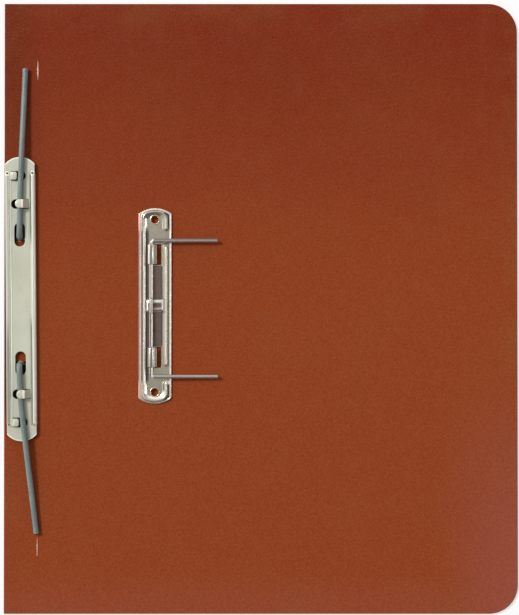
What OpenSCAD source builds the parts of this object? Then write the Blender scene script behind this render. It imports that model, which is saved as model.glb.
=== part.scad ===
// Spring file: a manilla cover with a sprung two-prong wire and a cover bar with transfer tubes.
// X runs across the opened file, Y up its height and Z out of its inner side. The origin is the
// middle of the file's footprint, on the surface it lies on.

/* [Board] */
// Height of the file
board_h = 360; // [330:1:380]
// Width of the opened file, without the leaf folded under it
file_w = 303; // [280:1:340]
// Thickness of the manilla board
board_t = 0.5; // [0.4:0.05:0.8]
// Radius of the free corners of both covers
corner_r = 17; // [4:0.5:22]
// Gap left along each crease between two panels
crease_gap = 0.06; // [0.04:0.01:0.1]
// Room between the hardware under the panels and the folded leaf
under_clear = 0.3; // [0.2:0.05:0.6]
// Room between the upright prongs and the cover bar in the closed file
close_clear = 3; // [1:0.1:6]
// Length of each slit that takes a tube's tip
slit_l = 10.6; // [8:0.1:14]
// Opening of each slit
slit_gap = 0.5; // [0.3:0.05:0.8]
// Distance between the middles of the two slits
slit_pitch = 281.5; // [270:0.5:300]
// Distance from the cover bar's edge to the line of the slits
slit_margin = 0.6; // [0.35:0.05:1]
// Distance from the slits to the first crease
crease_margin = 1.6; // [1.5:0.1:3]

/* [Spring plate] */
// Distance from the second crease to the wire's axis
wire_inset = 17.2; // [15:0.1:22]
// Height of the plate's middle above the middle of the file
plate_y = 1.3; // [-5:0.1:5]
// Distance from each prong to its end of the plate
plate_end = 17.75; // [16:0.25:22]
// Width of the plate
plate_w = 19.6; // [19:0.2:24]
// Thickness of the plate's sheet
plate_t = 1; // [0.8:0.1:1.2]
// Radius of the plate's rounded ends
plate_end_r = 16; // [14:0.5:24]
// Distance from the wire's axis to the plate's centre line
plate_shift = 2.1; // [1.8:0.1:2.6]
// Flat flange outside the raised rim
flange_w = 1.8; // [1:0.1:2]
// Width of the raised rim's inner slope
rim_in = 2.3; // [1.6:0.1:2.5]
// Width of the raised rim's outer slope
rim_out = 1.2; // [1.2:0.1:1.6]
// Height of the raised rim
rim_h = 1.1; // [0.9:0.05:1.4]
// Distance from the plate's end to the crest of the rim
rim_end = 2.1; // [1.9:0.1:2.2]
// Length of each break in the rim, for a prong
prong_gap = 9; // [7:0.5:11]
// Distance from the plate's end to each eyelet
eyelet_end = 6.9; // [6.9:0.1:8]

/* [Eyelets] */
// Bore of an eyelet
eyelet_bore = 4.4; // [3.6:0.1:4.6]
// Wall of an eyelet
eyelet_wall = 0.35; // [0.2:0.05:0.5]
// Width of the flange around the bore
eyelet_flange = 0.8; // [0.6:0.05:0.9]
// Height of the head above the plate
eyelet_head = 0.45; // [0.3:0.05:0.7]
// Thickness of the clinched flange under the board
clinch_t = 0.4; // [0.3:0.05:0.5]
// Clearance of the eyelet in its holes
eyelet_clear = 0.05; // [0.02:0.01:0.15]

/* [Wire] */
// Diameter of the wire
wire_d = 2.3; // [2.1:0.1:2.6]
// Distance between the two prongs
prong_pitch = 80; // [76:1:84]
// Length of a prong from the wire's axis to its tip
prong_l = 39.4; // [32:0.2:44]
// Radius of the bends, on the wire's centre line
bend_r = 2; // [1.8:0.1:3]
// How far the wire has slid down in its curls
wire_slide = 1.5; // [0:0.1:2]
// Chamfer on the prong tips
tip_chamfer = 0.5; // [0.2:0.05:0.8]
// Side of the square on which the leaf presses
square_side = 2; // [1.9:0.05:2.2]
// Length of that square
square_l = 9; // [8:0.5:12]
// Clearance of the wire in its curls
curl_clear = 0.08; // [0.03:0.01:0.1]
// Room between the wire and the leaf spring under it
wire_clear = 0.4; // [0.3:0.05:0.6]
// Room between a curl and the start of a bend
bend_clear = 0.4; // [0.2:0.05:1]

/* [Curls] */
// Length of each rolled curl
curl_l = 11.6; // [9:0.2:13]
// How far above the wire's axis a curl leaves its round, in degrees
curl_flap_angle = 50; // [35:1:60]
// Length of the straight flap at a curl's free edge
curl_flap_l = 2.8; // [1:0.1:3]
// Window beside the wire's axis, from which a curl was cut
window_reach = 5.9; // [4:0.1:6.2]
// Room between a curl and the ends of its window
window_clear = 0.3; // [0.2:0.05:0.6]

/* [Leaf spring] */
// Thickness of the leaf
leaf_t = 0.45; // [0.3:0.05:0.6]
// Room between the leaf and the rim on each side
leaf_side_gap = 0.35; // [0.2:0.05:0.8]
// Room between the leaf's ends and the windows
leaf_end = 0.4; // [0.2:0.1:1]
// How far the saddle stands out on each side of the leaf
saddle_ear = 0.45; // [0:0.05:0.45]
// Length of the saddle along the wire
saddle_l = 7; // [5:0.5:8]
// Gap between the saddle and the wire's square
saddle_gap = 0.03; // [0.01:0.01:0.1]

/* [Cover bar] */
// Length of the bar
bar_l = 167.5; // [160:0.5:180]
// Width of the bar
bar_w = 17.8; // [17:0.2:20]
// Thickness of the bar's sheet
bar_t = 0.8; // [0.5:0.1:1]
// Height of the bar's underside above the board
bar_lift = 1.6; // [1:0.1:2.5]
// Radius of the bar's rounded ends
bar_end_r = 11.5; // [11:0.5:16]
// Distance from the axis of the front fold to the bar's nearest corner
bar_margin = -0.25; // [-0.25:0.05:1]
// Lean of the bar on its strip, in degrees
bar_lean = 0.55; // [0:0.05:0.6]
// How far the bar has slid up from the middle of the tubes
bar_slide = 1.3; // [-2:0.1:2]
// Length of the rolled edges
roll_l = 148; // [140:1:154]
// Outer radius of the rolled edges
roll_r = 1.5; // [1.3:0.1:2]
// Width of the slots
slot_w = 6.2; // [5.2:0.1:7]
// Length of the slots
slot_l = 14; // [12:0.5:16]
// Distance between the middles of the two slots
slot_pitch = 75.8; // [73:0.2:78]
// How far the slots lie left of the bar's centre line
slot_shift = 0.4; // [0:0.1:1]
// Width of the hooks
hook_w = 5; // [4:0.1:6]
// Gap cut around each hook
hook_gap = 0.3; // [0.2:0.05:0.5]
// Distance between the two inner hooks
inner_pitch = 112; // [108:0.5:116]
// Distance between the two outer hooks
outer_pitch = 145.2; // [140:0.2:150]
// Distance from the bar's centre line to a hook's root
hook_root = 5.4; // [5.2:0.1:5.6]
// How far an inner hook reaches past the bar's centre line
inner_reach = 2.4; // [2.2:0.1:4]
// Length of an inner hook's slope
inner_slope_l = 3.4; // [3:0.1:4]
// Distance from the bar's centre line to the tip of an outer hook
outer_reach = 1.5; // [1.5:0.1:3.2]
// Length of an outer hook's slope
outer_slope_l = 0.9; // [0.6:0.1:1.2]
// Height of an outer hook's underside above the bar
outer_lift = 1.3; // [0.8:0.1:2.5]
// Radius of the corners of an outer hook
outer_corner = 1.2; // [0.6:0.1:2]
// Length of the hole under each inner hook past its tip
inner_hole = 2.8; // [1:0.1:3]
// Length of the hole under each outer hook past its tip
outer_hole = 4.9; // [4:0.1:6]

/* [Tubes] */
// Height of the tubes' middle above the middle of the file
tube_y = 4.1; // [-4:0.1:8]
// Distance between the two tubes where they leave the board
tube_pitch = 74.5; // [73:0.1:77]
// Outer diameter of a tube
tube_d = 3.3; // [3.2:0.05:3.6]
// Bore of a tube
tube_bore = 2.7; // [2.6:0.05:2.8]
// How far the tubes lie left of the bar's centre line where they leave the board
tube_shift = 0.7; // [0:0.1:1]
// Radius of the tubes' bend, on the centre line
tube_bend_r = 3; // [2.5:0.1:3.4]
// Length of a tube from its peg to its tip, as it lies
tube_reach = 100; // [80:0.5:104]
// Lean of the upper tube's root, in degrees
upper_root_lean = 0.8; // [0:0.1:3]
// Lean of the upper tube's free stretch, in degrees
upper_free_lean = 2.1; // [0:0.1:6]
// Lean of the lower tube's root, in degrees
lower_root_lean = 2.6; // [0:0.1:3]
// Lean of the lower tube's free stretch, in degrees
lower_free_lean = 6.6; // [0:0.1:8]
// Gap between a tube and the bar or hook that it lies on
tube_gap = 0.1; // [0.05:0.01:0.2]
// Width of a tube's long hole in the board
tube_hole_w = 4.6; // [4.2:0.1:5.5]
// Length of a tube's long hole in the board
tube_hole_l = 11; // [8:0.5:13]
// Distance from a tube's axis to the inner end of its hole
tube_hole_end = 1.9; // [1.9:0.1:2.2]
// Room between a hook and the point where its tube flexes
flex_clear = 0.4; // [0.3:0.05:1]
// Room between the two stretches of a tube at that point
flex_gap = 0.1; // [0.08:0.02:0.3]

/* [Anchor] */
// Thickness of the anchor strip
anchor_t = 0.4; // [0.3:0.05:0.6]
// Width of the anchor strip
anchor_w = 9; // [7:0.5:12]
// Length of the anchor strip past each peg
anchor_end = 12; // [8:0.5:14]
// Diameter of a peg
peg_d = 2.6; // [2.4:0.05:2.6]
// Height of a peg above the strip
peg_h = 2.2; // [1.5:0.1:2.4]
// Clearance of a peg in the strip
peg_clear = 0.02; // [0.01:0.01:0.05]

/* [Hidden] */
$fn = 64;

// Overlap that lets a cut run past the face it opens
cut = 1;
// How far a curl's round runs on inside its flap, in degrees
curl_lap = 6;

// Colours as the photo shows them
board_colour = "#8d4221";
plate_colour = "#b9b6ab";
leaf_colour = "#6d6560";
wire_colour = "#c9c8bd";
bar_colour = "#d8d2c2";
tube_colour = "#7f8c8c";
steel_colour = "#a8a8a4";

// Heights: the folded leaf lies on the surface, with the panels above it
fold_gap = max(anchor_t, clinch_t) + under_clear;
fold_r = board_t + fold_gap / 2;
fold_z = board_t + fold_gap / 2;
panel_z = board_t + fold_gap;
panel_top = panel_z + board_t;
floor_top = panel_top + plate_t;
wire_lift = wire_d / 2 + leaf_t + wire_clear;
wire_z = floor_top + wire_lift;
bar_z = panel_top + bar_lift;
bar_top = bar_z + bar_t;
tube_z = bar_top + tube_gap + tube_d / 2;
hook_z = bar_top + tube_d + 2 * tube_gap;

// Panels from left to right: strip, spine, back cover
bar_skew = roll_l / 2 * sin(bar_lean);
bar_inset = bar_margin + bar_skew + bar_w / 2;
strip_w = fold_r + bar_inset + bar_w / 2 + slit_margin + crease_margin;
roll_top = bar_lift + roll_r;
spine_w = plate_t + wire_lift + prong_l + roll_top + close_clear;
back_w = file_w - strip_w - spine_w;
leaf_w = back_w - strip_w + fold_r;
left_x = -file_w / 2;
fold_x = left_x + fold_r;
first_crease = left_x + strip_w;
second_crease = first_crease + spine_w;
right_x = file_w / 2;

// Spring plate, curls and leaf
wire_x = second_crease + wire_inset;
plate_x = wire_x + plate_shift;
plate_l = prong_pitch + 2 * plate_end;
rim_layers = 4;
rim_x = plate_w / 2 - flange_w - rim_out;
rim_arc_r = plate_end_r - rim_end;
rim_arc_y = plate_l / 2 - plate_end_r;
eyelet_y = plate_l / 2 - eyelet_end;
eyelet_r = eyelet_bore / 2 + eyelet_wall;
eyelet_hole_r = eyelet_r + eyelet_clear;
eyelet_seat_r = eyelet_bore / 2 + eyelet_flange + 2 * eyelet_clear;
curl_r = wire_d / 2 + curl_clear;
curl_y = prong_pitch / 2 - bend_r - wire_slide - bend_clear - curl_l / 2;
inner_w = 2 * (rim_x - rim_in);
leaf_w_flat = inner_w - 2 * leaf_side_gap;
leaf_half_l = curl_y - curl_l / 2 - window_clear - leaf_end;
saddle_top = wire_lift - square_side / 2 - saddle_gap;

// Cover bar and tubes
bar_x = fold_x + bar_inset;
bar_y = tube_y + bar_slide;
slit_x = bar_x + bar_w / 2 + slit_margin;
roll_x = bar_w / 2 - roll_r;
tube_x = bar_x - tube_shift;
tube_hole_mid = tube_hole_l / 2 - tube_hole_end;

// How far a tube runs from its peg to the point where it flexes, on side 1 (up) or -1 (down)
function flex_run(side) = inner_pitch / 2 + side * bar_slide - tube_pitch / 2
    + hook_w / 2 + tube_d / 2 + flex_clear;

// A flat panel with its free corners rounded, from x0 to x1 at height z
module panel(x0, x1, z, r) {
    translate([0, 0, z])
        linear_extrude(board_t)
            difference() {
                translate([x0, -board_h / 2])
                    square([x1 - x0, board_h]);
                for (side = [-1, 1])
                    translate([x1, side * board_h / 2])
                        corner_waste(r, side);
            }
}

// What is trimmed off a square corner to leave the radius r
module corner_waste(r, side) {
    difference() {
        translate([-r, side > 0 ? -r : -cut])
            square([r + cut, r + cut]);
        translate([-r, -side * r])
            circle(r);
    }
}

// Outline of a strip w wide and l long with arcs of radius r for its ends
module round_ended(w, l, r) {
    intersection() {
        square([w, l], center = true);
        translate([0, l / 2 - r])
            circle_or_above(r, l, -1);
        translate([0, r - l / 2])
            circle_or_above(r, l, 1);
    }
}

// A disc joined to all that lies on one side of its middle
module circle_or_above(r, l, side) {
    circle(r);
    translate([-r, side > 0 ? 0 : -2 * l])
        square([2 * r, 2 * l]);
}

// A stadium-shaped hole through a sheet, w wide and l long, along Y
module slot_cut(w, l, z, t) {
    translate([0, 0, z - cut]) {
        translate([-w / 2, -(l - w) / 2, 0])
            cube([w, l - w, t + 2 * cut]);
        for (side = [-1, 1])
            translate([0, side * (l - w) / 2, 0])
                cylinder(d = w, h = t + 2 * cut);
    }
}

module front_leaf() {
    color(board_colour)
        panel(fold_x + crease_gap, fold_x + leaf_w, 0, corner_r);
}

module front_fold() {
    color(board_colour)
        translate([fold_x, 0, fold_z])
            rotate([90, 0, 0])
                linear_extrude(board_h, center = true)
                    difference() {
                        circle(fold_r);
                        circle(fold_gap / 2);
                        translate([0, -fold_r - cut])
                            square(2 * (fold_r + cut));
                    }
}

module binding_strip() {
    color(board_colour)
        difference() {
            panel(fold_x, first_crease - crease_gap / 2, panel_z, 0);
            for (side = [-1, 1]) {
                translate([tube_x, tube_y + side * (tube_pitch / 2 + tube_hole_mid), 0])
                    slot_cut(tube_hole_w, tube_hole_l, panel_z, board_t);
                translate([slit_x, side * slit_pitch / 2, 0])
                    slot_cut(slit_gap, slit_l, panel_z, board_t);
            }
        }
}

module spine_panel() {
    color(board_colour)
        panel(first_crease + crease_gap / 2, second_crease - crease_gap / 2, panel_z, 0);
}

module back_cover() {
    color(board_colour)
        difference() {
            panel(second_crease + crease_gap / 2, right_x, panel_z, corner_r);
            for (side = [-1, 1])
                eyelet_hole(side, panel_z, board_t);
        }
}

// The hole for one eyelet through a sheet t thick
module eyelet_hole(side, z, t) {
    translate([plate_x, plate_y + side * eyelet_y, z - cut])
        cylinder(r = eyelet_hole_r, h = t + 2 * cut);
}

// Plan of the rim at one height: a loop with a break on the right for each prong
module rim_plan(inner, outer, break_l) {
    difference() {
        rim_loop(outer);
        rim_loop(-inner);
        for (side = [-1, 1])
            translate([0, side * prong_pitch / 2 - break_l / 2])
                square([plate_w, break_l]);
    }
}

// The rim's crest line as a filled outline, grown by a margin
module rim_loop(margin) {
    round_ended(
        2 * (rim_x + margin),
        2 * (rim_arc_y + rim_arc_r + margin),
        rim_arc_r + margin
    );
}

// The raised rim in thin layers that follow a round crest
module rim_crest() {
    layer = rim_h / rim_layers;
    for (i = [0:rim_layers - 1]) {
        share = sqrt(1 - (i + 0.5) / rim_layers);
        break_l = prong_gap + 2 * rim_out * (1 - share);
        translate([0, 0, floor_top + i * layer])
            linear_extrude(layer)
                difference() {
                    rim_plan(rim_in * share, rim_out * share, break_l);
                    for (side = [-1, 1])
                        translate([0, side * eyelet_y])
                            circle(eyelet_seat_r);
                }
    }
}

// The hollow that pressing leaves under the rim
module rim_hollow() {
    translate([0, 0, panel_top - cut])
        linear_extrude(rim_h + cut)
            rim_plan(rim_in - plate_t, rim_out - plate_t, prong_gap + 2 * plate_t);
}

// A curl's section: a leg that rises from the plate, rolls over the wire and ends in a flap
module curl_section() {
    outer = curl_r + plate_t;
    far = 4 * outer;
    round_end = curl_flap_angle - curl_lap;
    difference() {
        circle(outer);
        circle(curl_r);
        polygon([
            [0, 0], [-far, 0], [-far, -far], [far, -far], [far, 0],
            [far * cos(round_end), far * sin(round_end)]
        ]);
    }
    rotate(curl_flap_angle)
        translate([curl_r, -curl_flap_l])
            square([plate_t, curl_flap_l]);
    translate([-outer, -wire_lift - plate_t])
        square([plate_t, wire_lift + plate_t]);
}

module spring_plate() {
    color(plate_colour)
        translate([plate_x, plate_y, 0]) {
            difference() {
                union() {
                    translate([0, 0, panel_top])
                        linear_extrude(plate_t)
                            round_ended(plate_w, plate_l, plate_end_r);
                    rim_crest();
                }
                rim_hollow();
                for (side = [-1, 1]) {
                    translate([0, side * eyelet_y, panel_top - cut])
                        cylinder(r = eyelet_hole_r, h = plate_t + 2 * cut);
                    translate([-plate_shift - curl_r - plate_t, side * curl_y, panel_top - cut])
                        translate([0, -curl_l / 2 - window_clear, 0])
                            cube([
                                window_reach + curl_r + plate_t,
                                curl_l + 2 * window_clear,
                                plate_t + 2 * cut
                            ]);
                }
            }
            for (side = [-1, 1])
                translate([-plate_shift, side * curl_y, wire_z])
                    rotate([90, 0, 0])
                        linear_extrude(curl_l, center = true)
                            curl_section();
            for (side = [-1, 1])
                curl_bridge(side);
        }
}

// The flat root that joins a curl's leg to the plate across the end of its window
module curl_bridge(side) {
    outer = curl_r + plate_t;
    translate([-plate_shift - outer - cut, side * curl_y - curl_l / 2, panel_top])
        cube([cut + plate_t, curl_l, plate_t]);
}

// One hollow rivet: head on the plate, clinched flange under the board
module eyelet(side) {
    bore_r = eyelet_bore / 2;
    flange_r = bore_r + eyelet_flange;
    translate([plate_x, plate_y + side * eyelet_y, 0])
        rotate_extrude()
            polygon([
                [bore_r, panel_z - clinch_t],
                [flange_r - eyelet_wall, panel_z - clinch_t],
                [flange_r, panel_z - clinch_t / 2],
                [flange_r, panel_z],
                [eyelet_r, panel_z],
                [eyelet_r, floor_top],
                [flange_r, floor_top],
                [flange_r, floor_top + eyelet_head / 2],
                [flange_r - eyelet_wall, floor_top + eyelet_head],
                [bore_r, floor_top + eyelet_head]
            ]);
}

module upper_eyelet() {
    color(steel_colour)
        eyelet(1);
}

module lower_eyelet() {
    color(steel_colour)
        eyelet(-1);
}

// Side view of the leaf: flat ends on the plate, sloping limbs and a domed saddle
module leaf_section(half_l) {
    foot = half_l / 4;
    limb_top = wire_lift - wire_d / 2 - wire_clear / 2 - leaf_t;
    half_s = saddle_l / 2;
    flat_s = saddle_l / 4;
    rise = saddle_top - leaf_t;
    polygon([
        [-half_l, 0], [-half_l + foot, 0], [-half_s, limb_top], [-flat_s, rise],
        [flat_s, rise], [half_s, limb_top], [half_l - foot, 0], [half_l, 0],
        [half_l, leaf_t], [half_l - foot, leaf_t], [half_s, limb_top + leaf_t],
        [flat_s, saddle_top], [-flat_s, saddle_top], [-half_s, limb_top + leaf_t],
        [-half_l + foot, leaf_t], [-half_l, leaf_t]
    ]);
}

// The leaf's side view drawn out to a width w across the file
module leaf_slab(w) {
    translate([plate_x + w / 2, plate_y, floor_top])
        rotate([90, 0, -90])
            linear_extrude(w)
                leaf_section(leaf_half_l);
}

module leaf_spring() {
    saddle_w = leaf_w_flat + 2 * saddle_ear;
    color(leaf_colour) {
        leaf_slab(leaf_w_flat);
        intersection() {
            leaf_slab(saddle_w);
            translate([plate_x - saddle_w / 2, plate_y - saddle_l / 2, floor_top])
                cube([saddle_w, saddle_l, wire_z]);
        }
    }
}

// One half of the wire's back, from the square to the bend on one side
module wire_half(reach) {
    rotate([-90, 0, 0])
        translate([0, 0, square_l / 2])
            cylinder(d = wire_d, h = reach - bend_r - square_l / 2);
    translate([bend_r, reach - bend_r, 0])
        rotate([0, 0, 90])
            rotate_extrude(angle = 90)
                translate([bend_r, 0])
                    circle(d = wire_d);
    translate([bend_r, reach, 0])
        rotate([0, 90, 0])
            prong();
}

// A straight prong with a chamfered tip, along Z
module prong() {
    l = prong_l - bend_r;
    r = wire_d / 2;
    rotate_extrude()
        polygon([[0, 0], [r, 0], [r, l - tip_chamfer], [r - tip_chamfer, l], [0, l]]);
}

module prong_wire() {
    color(wire_colour)
        translate([wire_x, plate_y, wire_z]) {
            cube([square_side, square_l, square_side], center = true);
            wire_half(prong_pitch / 2 - wire_slide);
            mirror([0, 1, 0])
                wire_half(prong_pitch / 2 + wire_slide);
        }
}

// Section of a rolled edge: an arch with a lip that reaches down to the board
module roll_section() {
    difference() {
        translate([0, bar_lift])
            circle(roll_r);
        translate([0, bar_lift])
            circle(roll_r - bar_t);
        translate([-roll_r - cut, bar_lift - 2 * roll_r])
            square([2 * (roll_r + cut), 2 * roll_r]);
    }
    translate([roll_r - bar_t, 0])
        square([bar_t, bar_lift]);
}

// Both rolled edges with domed ends
module rolled_edges() {
    for (side = [-1, 1]) {
        translate([side * roll_x, 0, panel_top])
            rotate([0, 0, side > 0 ? 0 : 180])
                rotate([90, 0, 0])
                    linear_extrude(roll_l, center = true)
                        roll_section();
        for (end = [-1, 1])
            translate([side * roll_x, end * roll_l / 2, bar_z])
                rotate([0, 0, end > 0 ? 0 : 180])
                    rotate_extrude(angle = 180)
                        intersection() {
                            difference() {
                                circle(roll_r);
                                circle(roll_r - bar_t);
                            }
                            square(roll_r);
                        }
    }
}

// The space inside the rolled edges, cut out of the flat sheet
module roll_space() {
    for (side = [-1, 1])
        translate([side * roll_x - roll_r + bar_t, -roll_l / 2, bar_z - cut])
            cube([2 * (roll_r - bar_t), roll_l, bar_t + 2 * cut]);
}

// A hook's side view, from its root on the bar up a slope to its flat end at height z
module hook_section(root, slope, tip, z) {
    polygon([
        [root, bar_z], [root, bar_top], [root - slope, z + bar_t], [tip, z + bar_t],
        [tip, z], [root - slope - bar_t / 2, z], [root - bar_t, bar_z]
    ]);
}

// A lanced hook with corners of radius r at its tip, rooted on the right and reaching left
module hook(root, slope, tip, z, r) {
    intersection() {
        rotate([90, 0, 0])
            linear_extrude(hook_w, center = true)
                hook_section(root, slope, tip, z);
        linear_extrude(z + 2 * bar_t)
            hook_plan(root, tip, r);
    }
}

// A hook seen from above
module hook_plan(root, tip, r) {
    difference() {
        translate([tip, -hook_w / 2])
            square([root - tip + cut, hook_w]);
        for (side = [-1, 1])
            mirror([1, 0])
                translate([-tip, side * hook_w / 2])
                    corner_waste(r, side);
    }
}

// The hole that a hook was lanced out of
module hook_hole(root, tip, past) {
    w = hook_w + 2 * hook_gap;
    translate([tip - past + w / 2, 0, bar_z - cut])
        cylinder(d = w, h = bar_t + 2 * cut);
    translate([tip - past + w / 2, -w / 2, bar_z - cut])
        cube([root - tip + past - w / 2, w, bar_t + 2 * cut]);
}

module cover_bar() {
    color(bar_colour)
        translate([bar_x, bar_y, 0])
            rotate([0, 0, bar_lean]) {
                difference() {
                    translate([0, 0, bar_z])
                        linear_extrude(bar_t)
                            round_ended(bar_w, bar_l, bar_end_r);
                    roll_space();
                    for (side = [-1, 1]) {
                        translate([-slot_shift, side * slot_pitch / 2, 0])
                            slot_cut(slot_w, slot_l, bar_z, bar_t);
                        translate([0, side * inner_pitch / 2, 0])
                            hook_hole(hook_root, -inner_reach, inner_hole);
                        translate([0, side * outer_pitch / 2, 0])
                            mirror([1, 0, 0])
                                hook_hole(hook_root, outer_reach, outer_hole);
                    }
                }
                rolled_edges();
                for (side = [-1, 1]) {
                    translate([0, side * inner_pitch / 2, 0])
                        hook(hook_root, inner_slope_l, -inner_reach, hook_z, hook_w / 2);
                    translate([0, side * outer_pitch / 2, 0])
                        mirror([1, 0, 0])
                            hook(hook_root, outer_slope_l, outer_reach, bar_top + outer_lift, outer_corner);
                }
            }
}

module anchor_strip() {
    l = tube_pitch + 2 * anchor_end;
    color(steel_colour)
        translate([tube_x, tube_y, panel_z - anchor_t])
            difference() {
                linear_extrude(anchor_t)
                    round_ended(anchor_w, l, anchor_w / 2);
                for (side = [-1, 1])
                    translate([0, side * tube_pitch / 2, -cut])
                        cylinder(r = peg_d / 2 + peg_clear, h = anchor_t + 2 * cut);
            }
}

// A peg riveted into the anchor strip, inside the foot of a tube
module peg(side) {
    translate([tube_x, tube_y + side * tube_pitch / 2, panel_z - anchor_t])
        cylinder(d = peg_d, h = anchor_t + peg_h);
}

module upper_peg() {
    color(steel_colour)
        peg(1);
}

module lower_peg() {
    color(steel_colour)
        peg(-1);
}

// Places what is drawn along +Y from a peg onto the peg of one side
module on_peg(side, lean) {
    translate([tube_x, tube_y + side * tube_pitch / 2, 0])
        mirror([0, side > 0 ? 0 : 1, 0])
            rotate([0, 0, -lean])
                children();
}

// The fixed foot of a tube: up through the board, over in a bend and along the bar
module tube_root(run) {
    end = run - tube_d / 2 - flex_gap;
    difference() {
        root_bar(tube_d / 2, end, 0);
        root_bar(tube_bore / 2, end, cut);
    }
}

// The foot's path as a solid round bar that runs past both ends
module root_bar(r, end, past) {
    rise = tube_z - tube_bend_r - panel_z;
    translate([0, 0, panel_z - past])
        cylinder(r = r, h = rise + past);
    translate([0, tube_bend_r, panel_z + rise])
        rotate([0, -90, 0])
            rotate([0, 0, -90])
                rotate_extrude(angle = 90)
                    translate([tube_bend_r, 0])
                        circle(r);
    translate([0, tube_bend_r, tube_z])
        rotate([-90, 0, 0])
            cylinder(r = r, h = end - tube_bend_r + past);
}

// The free stretch of a tube with a ball end at the point where it flexes, along Z
module tube_free(l) {
    r = tube_d / 2;
    bore_r = tube_bore / 2;
    ball_start = acos(bore_r / r);
    steps = 6;
    rotate_extrude()
        polygon(concat(
            [for (i = [0:steps])
                let (a = ball_start * (1 - i / steps))
                    [r * cos(a), -r * sin(a)]],
            [[r, l], [bore_r, l]]
        ));
}

// Places what is drawn along +Z from a tube's flexing point
module from_flex(side, root_lean, free_lean) {
    run = flex_run(side);
    on_peg(side, 0)
        translate([run * sin(root_lean), run * cos(root_lean), tube_z])
            rotate([0, 0, -free_lean])
                rotate([-90, 0, 0])
                    children();
}

module upper_tube_root() {
    color(tube_colour)
        on_peg(1, upper_root_lean)
            tube_root(flex_run(1));
}

module lower_tube_root() {
    color(tube_colour)
        on_peg(-1, lower_root_lean)
            tube_root(flex_run(-1));
}

module upper_tube() {
    color(tube_colour)
        from_flex(1, upper_root_lean, upper_free_lean)
            tube_free(tube_reach - flex_run(1));
}

module lower_tube() {
    color(tube_colour)
        from_flex(-1, lower_root_lean, lower_free_lean)
            tube_free(tube_reach - flex_run(-1));
}

front_leaf();
front_fold();
binding_strip();
spine_panel();
back_cover();
spring_plate();
upper_eyelet();
lower_eyelet();
leaf_spring();
prong_wire();
cover_bar();
anchor_strip();
upper_peg();
lower_peg();
upper_tube_root();
upper_tube();
lower_tube_root();
lower_tube();
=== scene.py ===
"""Looks of the spring file: manilla boards, spring plate with its wire, cover bar and transfer tubes."""

import math

import bmesh
import bpy
import numpy as np
from bpy.props import FloatProperty, FloatVectorProperty, PointerProperty
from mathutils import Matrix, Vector
from mathutils.geometry import delaunay_2d_cdt


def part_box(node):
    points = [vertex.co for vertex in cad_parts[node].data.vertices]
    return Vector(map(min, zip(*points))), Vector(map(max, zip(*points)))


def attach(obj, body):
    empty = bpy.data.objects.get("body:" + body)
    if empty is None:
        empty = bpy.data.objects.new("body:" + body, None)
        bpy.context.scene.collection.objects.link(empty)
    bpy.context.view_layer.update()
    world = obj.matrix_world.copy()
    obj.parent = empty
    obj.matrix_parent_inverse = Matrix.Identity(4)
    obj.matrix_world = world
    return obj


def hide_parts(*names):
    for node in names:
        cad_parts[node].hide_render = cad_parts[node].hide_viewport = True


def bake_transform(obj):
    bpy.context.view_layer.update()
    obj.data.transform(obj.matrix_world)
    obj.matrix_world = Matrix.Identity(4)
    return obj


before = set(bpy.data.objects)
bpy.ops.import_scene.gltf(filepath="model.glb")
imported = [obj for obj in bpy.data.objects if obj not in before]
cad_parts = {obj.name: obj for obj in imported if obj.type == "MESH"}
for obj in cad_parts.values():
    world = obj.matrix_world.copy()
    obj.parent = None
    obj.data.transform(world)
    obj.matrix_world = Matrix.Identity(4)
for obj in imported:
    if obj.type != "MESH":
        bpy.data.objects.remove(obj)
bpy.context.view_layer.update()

bl_info = {
    "name": "Spring File",
    "version": (1, 0, 0),
    "blender": (4, 5, 0),
    "location": "View3D > Sidebar > Spring File",
    "description": "Builds the dressed pieces of a manilla spring file around its solids",
    "category": "Object",
}

MM = 0.001


def solid_box(node):
    """Lowest and highest corner of a solid, in millimetres."""
    low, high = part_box(node)
    return np.array(low) / MM, np.array(high) / MM


# Where the solids lie, in millimetres
STRIP_LOW, STRIP_HIGH = solid_box("binding_strip")
SPINE_LOW, SPINE_HIGH = solid_box("spine_panel")
BACK_LOW, BACK_HIGH = solid_box("back_cover")
LEAF_LOW, LEAF_HIGH = solid_box("front_leaf")
FOLD_LOW, FOLD_HIGH = solid_box("front_fold")
PLATE_LOW, PLATE_HIGH = solid_box("spring_plate")
WIRE_LOW, WIRE_HIGH = solid_box("prong_wire")
SPRING_LOW, SPRING_HIGH = solid_box("leaf_spring")
EYELET_LOW, EYELET_HIGH = solid_box("upper_eyelet")
EYELET2_LOW, EYELET2_HIGH = solid_box("lower_eyelet")
BAR_LOW, BAR_HIGH = solid_box("cover_bar")
PEG_LOW, PEG_HIGH = solid_box("upper_peg")
PEG2_LOW, PEG2_HIGH = solid_box("lower_peg")

PANEL_Z, PANEL_TOP = STRIP_LOW[2], STRIP_HIGH[2]
FOLD_X, FOLD_Z = FOLD_HIGH[0], (FOLD_LOW[2] + FOLD_HIGH[2]) / 2
FOLD_R = FOLD_HIGH[2] - FOLD_Z
HALF_H = BACK_HIGH[1]
RIGHT_X = BACK_HIGH[0]
FIRST_CREASE = (STRIP_HIGH[0] + SPINE_LOW[0]) / 2
SECOND_CREASE = (SPINE_HIGH[0] + BACK_LOW[0]) / 2
CORNER_R = 17.0
PLATE_X, PLATE_Y = (PLATE_LOW[:2] + PLATE_HIGH[:2]) / 2
PLATE_W, PLATE_L = PLATE_HIGH[:2] - PLATE_LOW[:2]
FLOOR_TOP = SPRING_LOW[2]
WIRE_Z = (WIRE_LOW[2] + WIRE_HIGH[2]) / 2
WIRE_R = (WIRE_HIGH[2] - WIRE_LOW[2]) / 2
WIRE_X = WIRE_LOW[0] + WIRE_R
BAR_X, BAR_Y = (BAR_LOW[:2] + BAR_HIGH[:2]) / 2
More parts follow.
